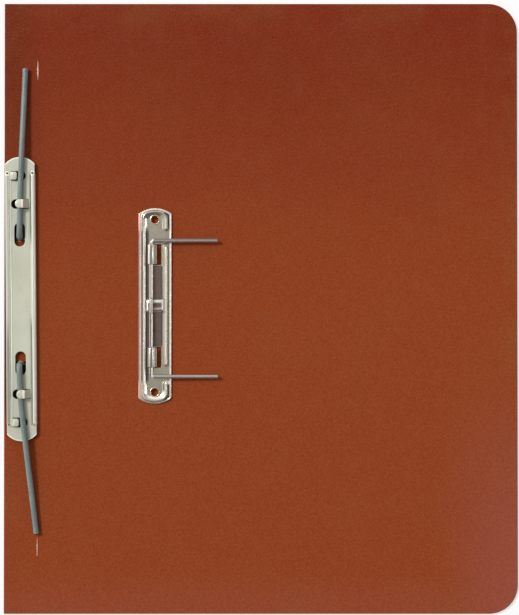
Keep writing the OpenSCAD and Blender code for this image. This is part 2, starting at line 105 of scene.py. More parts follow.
EYELET_R = (EYELET_HIGH[0] - EYELET_LOW[0]) / 2
EYELET_HOLE_R = EYELET_R - 0.4
BAR_W, BAR_L, BAR_LEAN = 17.8, 167.5, math.radians(0.55)

# Level direction from which most of the light comes
LIGHT_X, LIGHT_Y = -0.77, 0.64


def length(name, note, value):
    """A size in millimetres, kept as a Blender length."""
    return FloatProperty(name=name, description=note, default=value * MM, unit="LENGTH", precision=5)


def tint(name, note, srgb):
    """A colour given as it looks, 0 to 255, kept as Blender's linear colour."""
    linear = [(c / 255 / 12.92 if c <= 10 else ((c / 255 + 0.055) / 1.055) ** 2.4) for c in srgb]
    return FloatVectorProperty(
        name=name, description=note, default=linear, size=3, min=0, max=1, subtype="COLOR")


class SpringFileSizes(bpy.types.PropertyGroup):
    """Sizes of the details that the dressed pieces add to the solids"""

    board_edge: length("Board edge", "Rounding of the boards' cut edges", 0.14)
    crease_band: length("Crease band", "Half the width of board that bends at a crease", 0.9)
    crease_depth: length("Crease depth", "Depth of the scored line at a crease", 0.03)
    slit_length: length("Slit length", "Length of the slits for the tube tips", 11.2)
    slit_width: length("Slit width", "Opening of the slits at their middle", 0.2)
    lip: length("Lip", "Radius of the raw fibre lips of slits and holes", 0.24)
    plate_edge: length("Plate edge", "Rounding of the spring plate's edges", 0.46)
    rim_height: length("Rim height", "Height of the pressed rim", 1.15)
    rim_inner: length("Rim, inner slope", "Width of the pressed rim's inner slope", 2.4)
    rim_outer: length("Rim, outer slope", "Width of the pressed rim's outer slope", 1.25)
    curl_sheet: length("Curl sheet", "Thickness of the curls' sheet", 0.9)
    saddle_height: length("Saddle height", "Height of the leaf's domed saddle above its limbs", 0.52)
    bar_edge: length("Bar edge", "Rounding of the cover bar's edges", 0.25)
    roll_radius: length("Roll radius", "Outer radius of the cover bar's rolled edges", 1.5)
    hook_width: length("Hook width", "Width of the lanced hooks", 5.0)
    tube_diameter: length("Tube diameter", "Outer diameter of the tubes", 3.3)
    tube_bore: length("Tube bore", "Bore of the tubes", 2.5)
    tube_droop: length("Tube droop", "How far a tube's tip hangs below its root", 2.35)


class SpringFileColours(bpy.types.PropertyGroup):
    """Colours of the pieces and of the stage"""

    board: tint("Board", "Manilla board", (138, 60, 24))
    board_deep: tint("Board, darker", "Darker manilla board, for random mottle and the painted shade towards the head", (117, 38, 14))
    board_worn: tint("Board, handled", "Manilla board along handled edges", (134, 78, 44))
    board_blush_and_sheen: tint("Board, blush and sheen", "Rosy board, for random blush and for the painted sheen at the lower free corner", (142, 71, 55))
    board_dust: tint("Board, pulp", "Pale specks of pulp in the board", (173, 111, 84))
    raw_board: tint("Raw board", "Torn fibres of the board", (240, 202, 192))
    plate: tint("Spring plate", "Nickel on the spring plate", (208, 203, 184))
    board_reflection: tint("Board reflection", "Painted reflection of the board on the spring plate's flanges", (250, 205, 193))
    wire: tint("Wire", "Nickel on the wire", (226, 214, 205))
    eyelet: tint("Eyelet", "Brassed metal of the eyelets", (232, 216, 186))
    leaf: tint("Leaf spring", "Tempered spring steel", (132, 112, 102))
    bar: tint("Cover bar", "Tinplate of the cover bar", (197, 200, 177))
    # Colour of painted highlights and of wear
    painted_light_and_wear: tint("Highlight and wear", "Painted highlights, and metal on edges that wear rubs bright", (252, 246, 236))
    # Dark colour of dirt, also used for painted shade
    grime_and_shade: tint("Grime and shade", "Dirt in corners, and painted shade in valleys, pits and under the cover bar", (34, 30, 28))
    steel: tint("Anchor", "Near-black steel of the anchor strip and pegs, which paints the shade in the slots", (58, 55, 52))
    tube: tint("Tube", "Soft plastic of the tubes", (114, 127, 125))
    floor: tint("Floor", "Pale floor", (244, 243, 241))


def sizes():
    """The sizes that a user can change."""
    return bpy.context.scene.spring_file_sizes


def colours():
    """The colours that a user can change."""
    return bpy.context.scene.spring_file_colours


def in_mm(name):
    """One of the user's sizes, in millimetres."""
    return getattr(sizes(), name) / MM


# Outlines in the plane, with the sheet on the left of their direction

def arc(cx, cy, r, start, end, steps):
    """Points on an arc, angles in degrees."""
    turn = np.radians(np.linspace(start, end, steps + 1))
    return np.column_stack([cx + r * np.cos(turn), cy + r * np.sin(turn)])


def eased(corners, radii, steps=6):
    """A closed outline through corners, each rounded with its own radius."""
    points = []
    n = len(corners)
    for i in range(n):
        here = np.array(corners[i], float)
        back = np.array(corners[i - 1], float) - here
        ahead = np.array(corners[(i + 1) % n], float) - here
        r = radii[i] if hasattr(radii, "__len__") else radii
        if r <= 0:
            points.append(here)
            continue
        back_len, ahead_len = np.linalg.norm(back), np.linalg.norm(ahead)
        back, ahead = back / back_len, ahead / ahead_len
        half = math.acos(np.clip(back @ ahead, -1, 1)) / 2
        reach = min(r / math.tan(half), 0.49 * back_len, 0.49 * ahead_len)
        r = reach * math.tan(half)
        middle = back + ahead
        centre = here + middle / np.linalg.norm(middle) * r / math.sin(half)
        first, last = here + back * reach - centre, here + ahead * reach - centre
        sweep = math.atan2(first[0] * last[1] - first[1] * last[0], first @ last)
        for t in np.linspace(0, sweep, steps + 1):
            c, s = math.cos(t), math.sin(t)
            points.append(centre + [first[0] * c - first[1] * s, first[0] * s + first[1] * c])
    return np.array(points)


def densified(loop, step):
    """The outline with no side longer than step."""
    points = []
    for here, ahead in zip(loop, np.roll(loop, -1, 0)):
        n = max(1, math.ceil(np.linalg.norm(ahead - here) / step - 1e-9))
        points.extend(here + (ahead - here) * k / n for k in range(n))
    return np.array(points)


def round_ended(cx, cy, w, h, r, corner, steps=24):
    """A strip w wide and h long whose ends are arcs of radius r, with eased corners."""
    half = math.degrees(math.asin(w / 2 / r))
    top = arc(0, h / 2 - r, r, 90 - half, 90 + half, steps)
    low = arc(0, r - h / 2, r, 270 - half, 270 + half, steps)
    loop = np.vstack([top, low])
    ease = np.zeros(len(loop))
    ease[[0, steps, steps + 1, -1]] = corner
    return eased(loop + [cx, cy], ease, 4)


def disc(cx, cy, r, steps=40):
    """A circle."""
    return arc(cx, cy, r, 0, 360, steps)[:-1]


def stadium(cx, cy, w, h, steps=14):
    """An upright slot with round ends."""
    straight = (h - w) / 2
    top = arc(cx, cy + straight, w / 2, 0, 180, steps)
    return np.vstack([top, arc(cx, cy - straight, w / 2, 180, 360, steps)])


def lens(cx, cy, w, h, steps=16):
    """A slit that opens towards its middle."""
    t = np.linspace(-1, 1, steps + 1)
    right = np.column_stack([cx + w / 2 * (1 - t ** 2), cy + h / 2 * t])
    left = np.column_stack([cx - w / 2 * (1 - t ** 2), cy + h / 2 * t])[::-1]
    return np.vstack([right, left[1:-1]])


def inset(loop, reach):
    """The outline moved to its left by reach, one value or one for each point."""
    ahead = np.roll(loop, -1, 0) - loop
    ahead /= np.linalg.norm(ahead, axis=1)[:, None]
    normal = np.column_stack([-ahead[:, 1], ahead[:, 0]])
    back = np.roll(normal, 1, 0)
    share = np.maximum(1 + (normal * back).sum(1), 0.35)
    return loop + (normal + back) / share[:, None] * np.broadcast_to(reach, len(loop))[:, None]


def inside(points, loops):
    """Which points lie in the sheet that the outlines bound."""
    odd = np.zeros(len(points), bool)
    for loop in loops:
        for (x0, y0), (x1, y1) in zip(loop, np.roll(loop, -1, 0)):
            if y0 == y1:
                continue
            between = (points[:, 1] < y0) != (points[:, 1] < y1)
            odd ^= between & (points[:, 0] < x0 + (points[:, 1] - y0) * (x1 - x0) / (y1 - y0))
    return odd


def far_from(points, loops, reach):
    """Which points keep their distance from every outline."""
    clear = np.ones(len(points), bool)
    marks = np.vstack(loops)
    for i in range(0, len(points), 2000):
        gap = points[i:i + 2000, None] - marks[None]
        clear[i:i + 2000] = (gap ** 2).sum(2).min(1) > reach ** 2
    return clear


def filled(loops, extra, lines):
    """Triangles of the flat sheet inside the outlines, through the extra points and lines."""
    points = np.vstack([*loops, extra])
    edges, start = [], 0
    for loop in loops:
        n = len(loop)
        edges += [(start + i, start + (i + 1) % n) for i in range(n)]
        start += n
    edges += lines
    made = delaunay_2d_cdt([Vector(p) for p in points], edges, [], 1, 1e-5)
    spots = np.array([v[:] for v in made[0]])
    sources = [s[0] if s else None for s in made[3]]
    faces = [tuple(f) for f in made[2]]
    middles = np.array([spots[list(f)].mean(0) for f in faces])
    keep = inside(middles, loops)
    return spots, sources, [f for f, k in zip(faces, keep) if k]


def sheet(loops, low, high, ease, grid, support, height=None, columns=()):
    """A sheet with rounded edges between the heights low and high, as points and faces.
    ease gives the edge radius at a point, grid the pitch of inner points, support the width of the
    flat row beside the edge, height an added rise, and columns the places across X where a straight
    row of points runs up the sheet."""
    turns = np.radians([90, 60, 30, 0])
    verts, faces, count = [], [], 0
    tops, lows, top_ids, low_ids = [], [], [], []
    for loop in loops:
        r = np.array([ease(x, y) for x, y in loop])
        n = len(loop)
        rings = [(inset(loop, r + support), np.full(n, high))]
        rings += [(inset(loop, r * (1 - math.cos(a))), high - r * (1 - math.sin(a))) for a in turns]
        rings += [(inset(loop, r * (1 - math.cos(a))), low + r * (1 - math.sin(a))) for a in turns[::-1]]
        rings += [(inset(loop, r + support), np.full(n, low))]
        for plan, z in rings:
            verts.append(np.column_stack([plan, z]))
        for k in range(len(rings) - 1):
            for i in range(n):
                j = (i + 1) % n
                a, b = count + k * n, count + (k + 1) * n
                faces.append((a + i, b + i, b + j, a + j))
        tops.append(rings[0][0])
        lows.append(rings[-1][0])
        top_ids += range(count, count + n)
        low_ids += range(count + (len(rings) - 1) * n, count + len(rings) * n)
        count += len(rings) * n
    span_low, span_high = np.vstack(loops).min(0), np.vstack(loops).max(0)
    xs = np.arange(span_low[0] + grid / 2, span_high[0], grid)
    ys = np.arange(span_low[1] + grid / 2, span_high[1], grid * 0.9)
    rows = [np.column_stack([xs + (k % 2) * grid / 2, np.full(len(xs), y)]) for k, y in enumerate(ys)]
    extra = np.vstack(rows)
    extra = extra[inside(extra, tops) & far_from(extra, tops, 0.45 * grid)]
    for x in columns:
        extra = extra[np.abs(extra[:, 0] - x) > 0.2 * grid]
    rims, lines = np.vstack(tops), []
    for x in columns:
        on_line = np.flatnonzero(np.abs(rims[:, 0] - x) < 1e-6)
        on_line = sorted(on_line, key=lambda i: rims[i, 1])
        first, last = on_line[0], on_line[-1]
        steps = max(2, round((rims[last, 1] - rims[first, 1]) / 8))
        ys = np.linspace(rims[first, 1], rims[last, 1], steps + 1)[1:-1]
        at = len(rims) + len(extra)
        extra = np.vstack([extra, np.column_stack([np.full(len(ys), x), ys])])
        chain = [first, *range(at, at + len(ys)), last]
        lines += list(zip(chain[:-1], chain[1:]))
    spots, sources, triangles = filled(tops, extra, lines)
    for ids, z, flip in ((top_ids, high, False), (low_ids, low, True)):
        place = {}
        for i, source in enumerate(sources):
            if source is not None and source < len(rims):
                place[i] = ids[source]
            else:
                place[i] = count
                verts.append(np.array([[spots[i, 0], spots[i, 1], z]]))
                count += 1
        for f in triangles:
            f = f[::-1] if flip else f
            faces.append(tuple(place[i] for i in f))
    verts = np.vstack(verts)
    if height:
        verts[:, 2] += height(verts[:, 0], verts[:, 1])
    return verts, faces


def loft(rings, tips=True):
    """A skin through closed rings of points, with a tip at both ends or open there."""
    n = len(rings[0])
    verts = np.vstack(rings)
    faces = []
    for k in range(len(rings) - 1):
        for i in range(n):
            j = (i + 1) % n
            faces.append((k * n + i, k * n + j, (k + 1) * n + j, (k + 1) * n + i))
    if tips:
        ends = np.array([rings[0].mean(0), rings[-1].mean(0)])
        first, last = len(verts), len(verts) + 1
        verts = np.vstack([verts, ends])
        top = (len(rings) - 1) * n
        faces += [((i + 1) % n, i, first) for i in range(n)]
        faces += [(top + i, top + (i + 1) % n, last) for i in range(n)]
    return verts, faces


def upright(plan, x, y, z):
    """A flat ring, given across X and up Z, set at a place along Y."""
    return np.column_stack([x + plan[:, 0], np.full(len(plan), y), z + plan[:, 1]])


def together(parts):
    """Several sets of points and faces as one."""
    verts, faces, count = [], [], 0
    for v, f in parts:
        verts.append(v)
        faces += [tuple(i + count for i in face) for face in f]
        count += len(v)
    return np.vstack(verts), faces


def smooth(a, b, t):
    """Runs from 0 at a to 1 at b with flat ends."""
    s = np.clip((np.asarray(t, float) - a) / (b - a), 0, 1)
    return s * s * (3 - 2 * s)


def bent_path(corners, radii, step=0.15):
    """An open path through corners in a plane, with bends of the given radii."""
    points = [np.array(corners[0], float)]
    for i in range(1, len(corners) - 1):
        trio = np.array(corners[i - 1:i + 2], float)
        bend = eased(np.vstack([trio, trio[1] + (trio[1] - (trio[0] + trio[2]) / 2) * -9]),
                     [0, radii[i - 1], 0, 0], 8)[1:-2]
        points.extend(bend)
    points.append(np.array(corners[-1], float))
    path = [points[0]]
    for here, ahead in zip(points[:-1], points[1:]):
        n = max(1, math.ceil(np.linalg.norm(ahead - here) / step))
        path.extend(here + (ahead - here) * (k + 1) / n for k in range(n))
    return np.array(path)


SQUARE = np.array([(1, 1), (-1, 1), (-1, -1), (1, -1)], float)


def bent_tab(path, thick, width, tip_r, ease):
    """A tab of sheet metal that follows a path in X and Z, centred on Y, with a rounded tip."""
    ahead = np.gradient(path, axis=0)
    ahead /= np.linalg.norm(ahead, axis=1)[:, None]
    run = np.concatenate([[0], np.cumsum(np.linalg.norm(np.diff(path, axis=0), axis=1))])
    left = run[-1] - run
    rings = []
    for (x, z), (tx, tz), rest in zip(path, ahead, left):
        half_w, half_t = width / 2, thick / 2
        if rest < tip_r:
            half_w += math.sqrt(max(tip_r ** 2 - (tip_r - rest) ** 2, 0)) - tip_r
        if rest < ease:
            half_t += math.sqrt(max(ease ** 2 - (ease - rest) ** 2, 0)) - ease
        half_w = max(half_w, 0.05)
        r = min(ease, 0.9 * half_t, 0.9 * half_w)
        section = eased(SQUARE * [half_t, half_w], r, 3)
        rings.append(np.column_stack([x - section[:, 0] * tz, section[:, 1], z + section[:, 0] * tx]))
    return loft(rings)


# Pieces

MERGE_REACH, THIN_REACH = 1.5e-6, 1e-7
SHARP_ANGLE = math.radians(44)


def new_mesh(name, verts, faces):
    """A closed mesh from points in millimetres, doubles merged, faces outward, curved faces smooth."""
    mesh = bpy.data.meshes.new(name)
    mesh.from_pydata((np.asarray(verts) * MM).tolist(), [], [list(f) for f in faces])
    bm = bmesh.new()
    bm.from_mesh(mesh)
    bmesh.ops.remove_doubles(bm, verts=bm.verts, dist=MERGE_REACH)
    bmesh.ops.dissolve_degenerate(bm, dist=THIN_REACH, edges=bm.edges)
    rims = [e for e in bm.edges if e.is_boundary]
    if rims:
        bmesh.ops.holes_fill(bm, edges=rims, sides=0)
    bmesh.ops.recalc_face_normals(bm, faces=bm.faces)
    bm.to_mesh(mesh)
    bm.free()
    mesh.polygons.foreach_set("use_smooth", [True] * len(mesh.polygons))
    mesh.set_sharp_from_angle(angle=SHARP_ANGLE)
    return mesh


def mark_painted_light_and_wear(mesh, amount):
    """Marks each point of a mesh with painted highlight and wear, up to 1, or with painted shade and dirt,
    down to -1.
    """
    spots = np.zeros(len(mesh.vertices) * 3)
    mesh.vertices.foreach_get("co", spots)
    marks = mesh.attributes.new("painted_light_and_wear", "FLOAT", "POINT")
    values = np.clip(amount(*(spots.reshape(-1, 3) / MM).T), -1, 1)
    marks.data.foreach_set("value", np.asarray(values, np.float32))


def new_piece(mesh, material, nodes=()):
    """A piece with its finish, which stands for the named solids."""
    piece = bpy.data.objects.new(mesh.name, mesh)
    bpy.context.scene.collection.objects.link(piece)
    mesh.materials.clear()
    mesh.materials.append(material)
    if nodes:
        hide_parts(*nodes)
    return piece


def metres(*point):
    """A point in millimetres as one in metres."""
    return tuple(float(v) * MM for v in point)


# Node trees

class Nodes:
    """Adds nodes to a tree and links them by their sockets."""

    def __init__(self, tree):
        self.tree = tree

    def add(self, kind, values=None, **settings):
        """A new node with its settings, and its inputs set to values or linked to sockets."""
        node = self.tree.nodes.new(kind)
        for key, value in settings.items():
            setattr(node, key, value)
        for key, value in (values or {}).items():
            if isinstance(value, bpy.types.NodeSocket):
                self.tree.links.new(value, node.inputs[key])
            else:
                node.inputs[key].default_value = value
        return node

    def math(self, operation, a, b=0.0, c=0.0):
        """The result of a sum on values or sockets."""
        return self.add("ShaderNodeMath", {0: a, 1: b, 2: c}, operation=operation).outputs[0]

    def span(self, value, low, high, to_low=0.0, to_high=1.0):
        """Maps low..high onto to_low..to_high with flat ends."""
        values = {"Value": value, "From Min": low, "From Max": high, "To Min": to_low, "To Max": to_high}
        node = self.add("ShaderNodeMapRange", values, interpolation_type="SMOOTHSTEP")
        return node.outputs["Result"]

    def mix(self, factor, a, b, blend="MIX"):
        """Colour a with colour b laid over it by a factor."""
        values = {0: factor, 6: a, 7: b}
        return self.add("ShaderNodeMix", values, data_type="RGBA", blend_type=blend).outputs[2]

    def noise(self, vector, scale, detail=3.0, rough=0.55):
        """Soft noise from 0 to 1 at a position."""
        values = {"Vector": vector, "Scale": scale, "Detail": detail, "Roughness": rough}
        return self.add("ShaderNodeTexNoise", values).outputs["Fac"]

    def stretched(self, vector, scale, turn=0.0):
        """A position turned about Z and stretched."""
        values = {"Vector": vector, "Scale": scale, "Rotation": (0, 0, turn)}
        return self.add("ShaderNodeMapping", values).outputs["Vector"]


def node_group(name, kind, inputs, outputs, fill):
    """The node group with this name, made with named sockets and filled when first asked for."""
    if name in bpy.data.node_groups:
        return bpy.data.node_groups[name]
    group = bpy.data.node_groups.new(name, kind)
    for label, socket, default in inputs:
        made = group.interface.new_socket(label, in_out="INPUT", socket_type="NodeSocket" + socket)
        if default is not None:
            made.default_value = default
    for label, socket in outputs:
        group.interface.new_socket(label, in_out="OUTPUT", socket_type="NodeSocket" + socket)
    n = Nodes(group)
    n.add("NodeGroupOutput", fill(n, n.add("NodeGroupInput").outputs))
    return group


def board_fibre():
    """Fibres of pressed board: tone of the pulp, loose fibres, and the height of the surface."""
    def fill(n, given):
        place = given["Position"]
        pulp = n.noise(place, n.math("DIVIDE", 1.0, given["Pulp Size"]), 4.0, 0.6)
        fine = n.math("DIVIDE", 1.0, given["Fibre Size"])
        across = n.noise(n.stretched(place, (1.0, 0.16, 1.0), 0.35), fine, 2.0)
        along = n.noise(n.stretched(place, (0.16, 1.0, 1.0), -0.5), fine, 2.0)
        slant = n.noise(n.stretched(place, (1.0, 0.2, 1.0), 1.1), fine, 2.0)
        fibre = n.math("MAXIMUM", n.math("MAXIMUM", across, along), slant)
        tooth = n.noise(place, n.math("MULTIPLY", fine, 1.7), 3.0, 0.7)
        height = n.math("ADD", n.math("MULTIPLY", fibre, 0.6), n.math("MULTIPLY", tooth, 0.4))
        return {"Pulp": pulp, "Fibre": n.span(fibre, 0.56, 0.74), "Height": height}

    return node_group(
        "board_fibre", "ShaderNodeTree",
        [("Position", "Vector", None), ("Pulp Size", "Float", 1.3), ("Fibre Size", "Float", 0.55)],
        [("Pulp", "Float"), ("Fibre", "Float"), ("Height", "Float")], fill)


def handling():
    """Blotchy marks that hands and storage leave."""
    def fill(n, given):
        scale = n.math("DIVIDE", 1.0, given["Patch Size"])
        patches = n.span(n.noise(given["Position"], scale, 5.0, 0.62), 0.38, 0.66)
        specks = n.noise(given["Position"], n.math("MULTIPLY", scale, 14.0), 2.0, 0.5)
        return {"Patches": patches, "Specks": n.span(specks, 0.66, 0.74)}

    return node_group(
        "handling", "ShaderNodeTree",
        [("Position", "Vector", None), ("Patch Size", "Float", 20.0)],
        [("Patches", "Float"), ("Specks", "Float")], fill)


def drawn_lines():
    """Fine lines and scratches that rolling and pressing leave along a sheet, and their height."""
    def fill(n, given):
        turned = n.add("ShaderNodeVectorRotate", {"Vector": given["Position"], "Angle": given["Turn"]},
                       rotation_type="Z_AXIS").outputs[0]
        scale = n.math("DIVIDE", 1.0, given["Pitch"])
        lines = n.noise(n.stretched(turned, (1.0, 0.02, 0.3)), scale, 3.0, 0.6)
        slant = n.stretched(turned, (1.0, 0.09, 1.0), 0.4)
        marks = n.span(n.noise(slant, n.math("MULTIPLY", scale, 0.5), 1.0), 0.7, 0.76)
        height = n.math("SUBTRACT", n.math("MULTIPLY", lines, 0.5), n.math("MULTIPLY", marks, 0.35))
        return {"Lines": lines, "Scratches": marks, "Height": height}

    return node_group(
        "drawn_lines", "ShaderNodeTree",
        [("Position", "Vector", None), ("Pitch", "Float", 0.25), ("Turn", "Float", 0.0)],
        [("Lines", "Float"), ("Scratches", "Float"), ("Height", "Float")], fill)


def emptied(owner):
    """The node tree of a material or world, with nothing in it yet."""
    owner.use_nodes = True
    owner.node_tree.nodes.clear()
    return Nodes(owner.node_tree)


def new_material(name):
    """A material with its shader, and the surface's position in millimetres."""
    material = bpy.data.materials.new(name)
    n = emptied(material)
    shader = n.add("ShaderNodeBsdfPrincipled")
    n.add("ShaderNodeOutputMaterial", {"Surface": shader.outputs[0]})
    place = n.add("ShaderNodeTexCoord").outputs["Object"]
    position = n.add("ShaderNodeVectorMath", {0: place, 3: 1 / MM}, operation="SCALE").outputs[0]
    return material, n, shader, position


def use_group(n, group, values):
    """The outputs of a shader node group put into a material."""
    return n.add("ShaderNodeGroup", values, node_tree=group).outputs


def rgba(colour, gain=1.0):
    """A colour for a socket, made lighter or darker by gain."""
    return (*[c * gain for c in colour], 1.0)


def join(n, key, shader, value):
    """Links a value to an input of the shader."""
    n.tree.links.new(value, shader.inputs[key])


def bump(n, shader, height, strength, depth):
    """Raises the surface by a height, with its depth in millimetres."""
    node = n.add("ShaderNodeBump", {"Height": height, "Strength": strength, "Distance": depth * MM})
    join(n, "Normal", shader, node.outputs[0])


def painted_bar_shade(n, xyz):
    """Painted shade on the board under the cover bar and along its left edge."""
    v = n.math("SUBTRACT", xyz["Y"], float(BAR_Y))
    u = n.math("ADD", n.math("SUBTRACT", xyz["X"], float(BAR_X)), n.math("MULTIPLY", v, BAR_LEAN))
    out = n.math("ABSOLUTE", n.math("ADD", v, 1.3))
    ends = n.math("MULTIPLY", n.span(out, 35.2, 35.7), n.span(out, 81.0, 78.0))
    below = n.math("MULTIPLY", n.math("MULTIPLY", ends, n.span(n.math("ABSOLUTE", u), 8.8, 8.2)), 0.93)
    run = n.span(n.math("ABSOLUTE", n.math("ADD", v, 14.0)), 66.0, 44.0)
    beside = n.math("MULTIPLY", n.math("MULTIPLY", run, n.span(u, -8.3, -9.1)), 0.6)
    upper_face = n.span(xyz["Z"], float(PANEL_TOP) - 0.45, float(PANEL_TOP) - 0.2)
    return n.math("MULTIPLY", n.math("MAXIMUM", below, beside), upper_face)


def board_material():
    """Manilla board: mottled pulp and fibres, handled along its edges; painted sheen leaves it paler towards
    the foot and rosier at the lower free corner; painted shade along the left strip and under the bar."""
    c = colours()
    material, n, shader, position = new_material("manilla_board")
    fibre = use_group(n, board_fibre(), {"Position": position})
    marks = use_group(n, handling(), {"Position": position, "Patch Size": 46.0})
    xyz = n.add("ShaderNodeSeparateXYZ", {0: position}).outputs
    # Painted sheen: the board is paler towards the foot and darker towards the head
    wander = n.noise(position, 0.012, 2.0)
    height = n.math("ADD", xyz["Y"], n.math("MULTIPLY", wander, 70.0))
    depth = n.span(height, 30.0, 215.0)
    colour = n.mix(depth, rgba(c.board), rgba(c.board_deep))
    side = n.span(xyz["X"], -130.0, -152.0)
    # Painted shade: the left strip beside the bar and tubes is darker, most towards the head
    upper = n.math("MULTIPLY", n.span(xyz["X"], -126.0, -150.0), n.span(xyz["Y"], -150.0, 60.0, 0.15, 1.0))
    painted_strip_shade = n.math("SUBTRACT", 1.0, n.math("MULTIPLY", upper, 0.22))
    ends = n.span(n.math("ABSOLUTE", xyz["Y"]), 158.0, 181.0)
    free = n.span(xyz["X"], 132.0, 152.0)
    edge = n.math("MAXIMUM", n.math("MAXIMUM", side, ends), free)
    edge_marks = n.math("MULTIPLY", n.math("MULTIPLY", edge, marks["Patches"]), 0.3)
    colour = n.mix(edge_marks, colour, rgba(c.board_worn))
    colour = n.mix(n.math("MULTIPLY", marks["Patches"], 0.10), colour, rgba(c.board_worn, 0.9))
    colour = n.mix(n.span(n.noise(position, 0.9, 2.0), 0.45, 0.7, 0.0, 0.3), colour, rgba(c.board_deep))
    # Painted sheen: paler and rosier towards the lower right and along the foot, with random blush laid over
    # it
    side_band = n.math("MULTIPLY", n.span(xyz["X"], 92.0, 156.0), n.span(xyz["Y"], -10.0, -172.0))
    rosy = n.math("MAXIMUM", side_band, n.span(xyz["Y"], -148.0, -182.0, 0.0, 0.32))
    blush = n.span(n.noise(position, 0.11, 3.0), 0.45, 0.7, 0.0, 0.08)
    colour = n.mix(n.math("MAXIMUM", rosy, blush), colour, rgba(c.board_blush_and_sheen))
    tone = n.math("MULTIPLY", n.span(fibre["Pulp"], 0.25, 0.75, 0.88, 1.09), painted_strip_shade)
    grey = n.add("ShaderNodeCombineColor", {"Red": tone, "Green": tone, "Blue": tone}).outputs[0]
    colour = n.mix(1.0, colour, grey, "MULTIPLY")
    colour = n.mix(n.math("MULTIPLY", fibre["Fibre"], 0.16), colour, rgba(c.board_worn, 1.1))
    colour = n.mix(n.span(n.noise(position, 1.2, 2.0), 0.42, 0.72, 0.0, 0.15), colour, rgba(c.board_dust))
    # Painted shade under the cover bar and beside its left edge, in the dark dirt colour
    colour = n.mix(painted_bar_shade(n, xyz), colour, rgba(c.grime_and_shade, 0.5))
    join(n, "Base Color", shader, colour)
    join(n, "Roughness", shader, n.span(fibre["Height"], 0.3, 0.7, 0.58, 0.78))
    shader.inputs["Specular IOR Level"].default_value = 0.06
    bump(n, shader, fibre["Height"], 0.35, 0.12)
    return material


def raw_board_material():
    """Torn pale fibres where the board is cut."""
    c = colours()
    material, n, shader, position = new_material("raw_board")
    fibre = use_group(n, board_fibre(), {"Position": position, "Pulp Size": 0.9, "Fibre Size": 0.25})
    colour = n.mix(n.span(fibre["Pulp"], 0.35, 0.7), rgba(c.raw_board), rgba(c.board_worn, 1.6))
    join(n, "Base Color", shader, colour)
    join(n, "Roughness", shader, n.span(fibre["Height"], 0.3, 0.7, 0.7, 0.9))
    shader.inputs["Specular IOR Level"].default_value = 0.15
    bump(n, shader, fibre["Height"], 0.5, 0.1)
    return material


def flange_board_reflection(n, position):
    """Where the spring plate's flanges get a painted reflection of the brown board, more on the left."""
    x = n.math("SUBTRACT", n.add("ShaderNodeSeparateXYZ", {0: position}).outputs["X"], float(PLATE_X))
    return n.math("MAXIMUM", n.span(x, -7.9, -8.4, 0.0, 0.9), n.span(x, 8.7, 9.2, 0.0, 0.35))


def metal_material(name, colour, stain, rough, pitch, turn=0.0, patch=9.0, stained=0.35, grain=0.05,
                   metallic=1.0, tinge=None):
    """Sheet or wire metal with drawn lines, fine scratches and dulled patches."""
    material, n, shader, position = new_material(name)
    lines = use_group(n, drawn_lines(), {"Position": position, "Pitch": pitch, "Turn": turn})
    marks = use_group(n, handling(), {"Position": position, "Patch Size": patch})
    tone = n.mix(n.math("MULTIPLY", marks["Patches"], stained), rgba(colour), rgba(stain))
    tone = n.mix(n.math("MULTIPLY", lines["Lines"], 0.22), tone, rgba(stain, 0.8))
    tone = n.mix(n.math("MULTIPLY", marks["Specks"], 0.3), tone, rgba(stain, 0.45))
    tone = n.mix(n.math("MULTIPLY", lines["Scratches"], 0.35), tone, rgba(colour, 1.15))
    # The mesh's marks: painted highlights and wear brighten the metal, painted shade and dirt darken it and
    # make it matt
    painted_light_and_wear = n.add("ShaderNodeAttribute", attribute_name="painted_light_and_wear").outputs["Fac"]
    gain, loss = n.math("MAXIMUM", painted_light_and_wear, 0.0), n.math("MAXIMUM", n.math("MULTIPLY", painted_light_and_wear, -1.0), 0.0)
    tone = n.mix(n.math("MULTIPLY", gain, 0.9), tone, rgba(colours().painted_light_and_wear))
    if tinge:
        # Painted reflection of the board where a mask is given
        tone = n.mix(tinge(n, position), tone, rgba(colours().board_reflection))
    tone = n.mix(n.math("MULTIPLY", loss, 0.95), tone, rgba(colours().grime_and_shade))
    join(n, "Base Color", shader, tone)
    bare = n.math("SUBTRACT", n.math("SUBTRACT", 1.0, n.math("MULTIPLY", gain, 0.5)), loss)
    join(n, "Metallic", shader, n.math("MULTIPLY", n.math("MAXIMUM", bare, 0.0), metallic))
    dull = n.math("ADD", n.math("MULTIPLY", marks["Patches"], 0.12), n.math("MULTIPLY", lines["Lines"], 0.14))
    dull = n.math("ADD", dull, n.math("MULTIPLY", n.math("MINIMUM", loss, 1.0), 0.4))
    join(n, "Roughness", shader, n.math("ADD", dull, rough - 0.13))
    bump(n, shader, lines["Height"], 0.25, grain)
    return material


def tube_material():
    """Soft grey plastic with faint lengthwise streaks and a dusty bloom."""
    c = colours()
    material, n, shader, position = new_material("grey_tube")
    lines = use_group(n, drawn_lines(), {"Position": position, "Pitch": 0.7})
    marks = use_group(n, handling(), {"Position": position, "Patch Size": 12.0})
    tone = n.mix(n.span(lines["Lines"], 0.3, 0.7), rgba(c.tube), rgba(c.tube, 0.8))
    bloom = (min(c.tube[0] * 1.55, 1), min(c.tube[1] * 1.4, 1), min(c.tube[2] * 1.4, 1), 1)
    tone = n.mix(n.math("MULTIPLY", marks["Patches"], 0.35), tone, bloom)
    tone = n.mix(n.math("MULTIPLY", marks["Specks"], 0.25), tone, rgba(c.tube, 0.5))
    join(n, "Base Color", shader, tone)
    join(n, "Roughness", shader, n.span(marks["Patches"], 0.0, 1.0, 0.34, 0.5))
    shader.inputs["Subsurface Weight"].default_value = 0.6
    shader.inputs["Subsurface Radius"].default_value = (1.0, 1.0, 1.0)
    shader.inputs["Subsurface Scale"].default_value = 2.0 * MM
    bump(n, shader, lines["Height"], 0.15, 0.05)
    return material


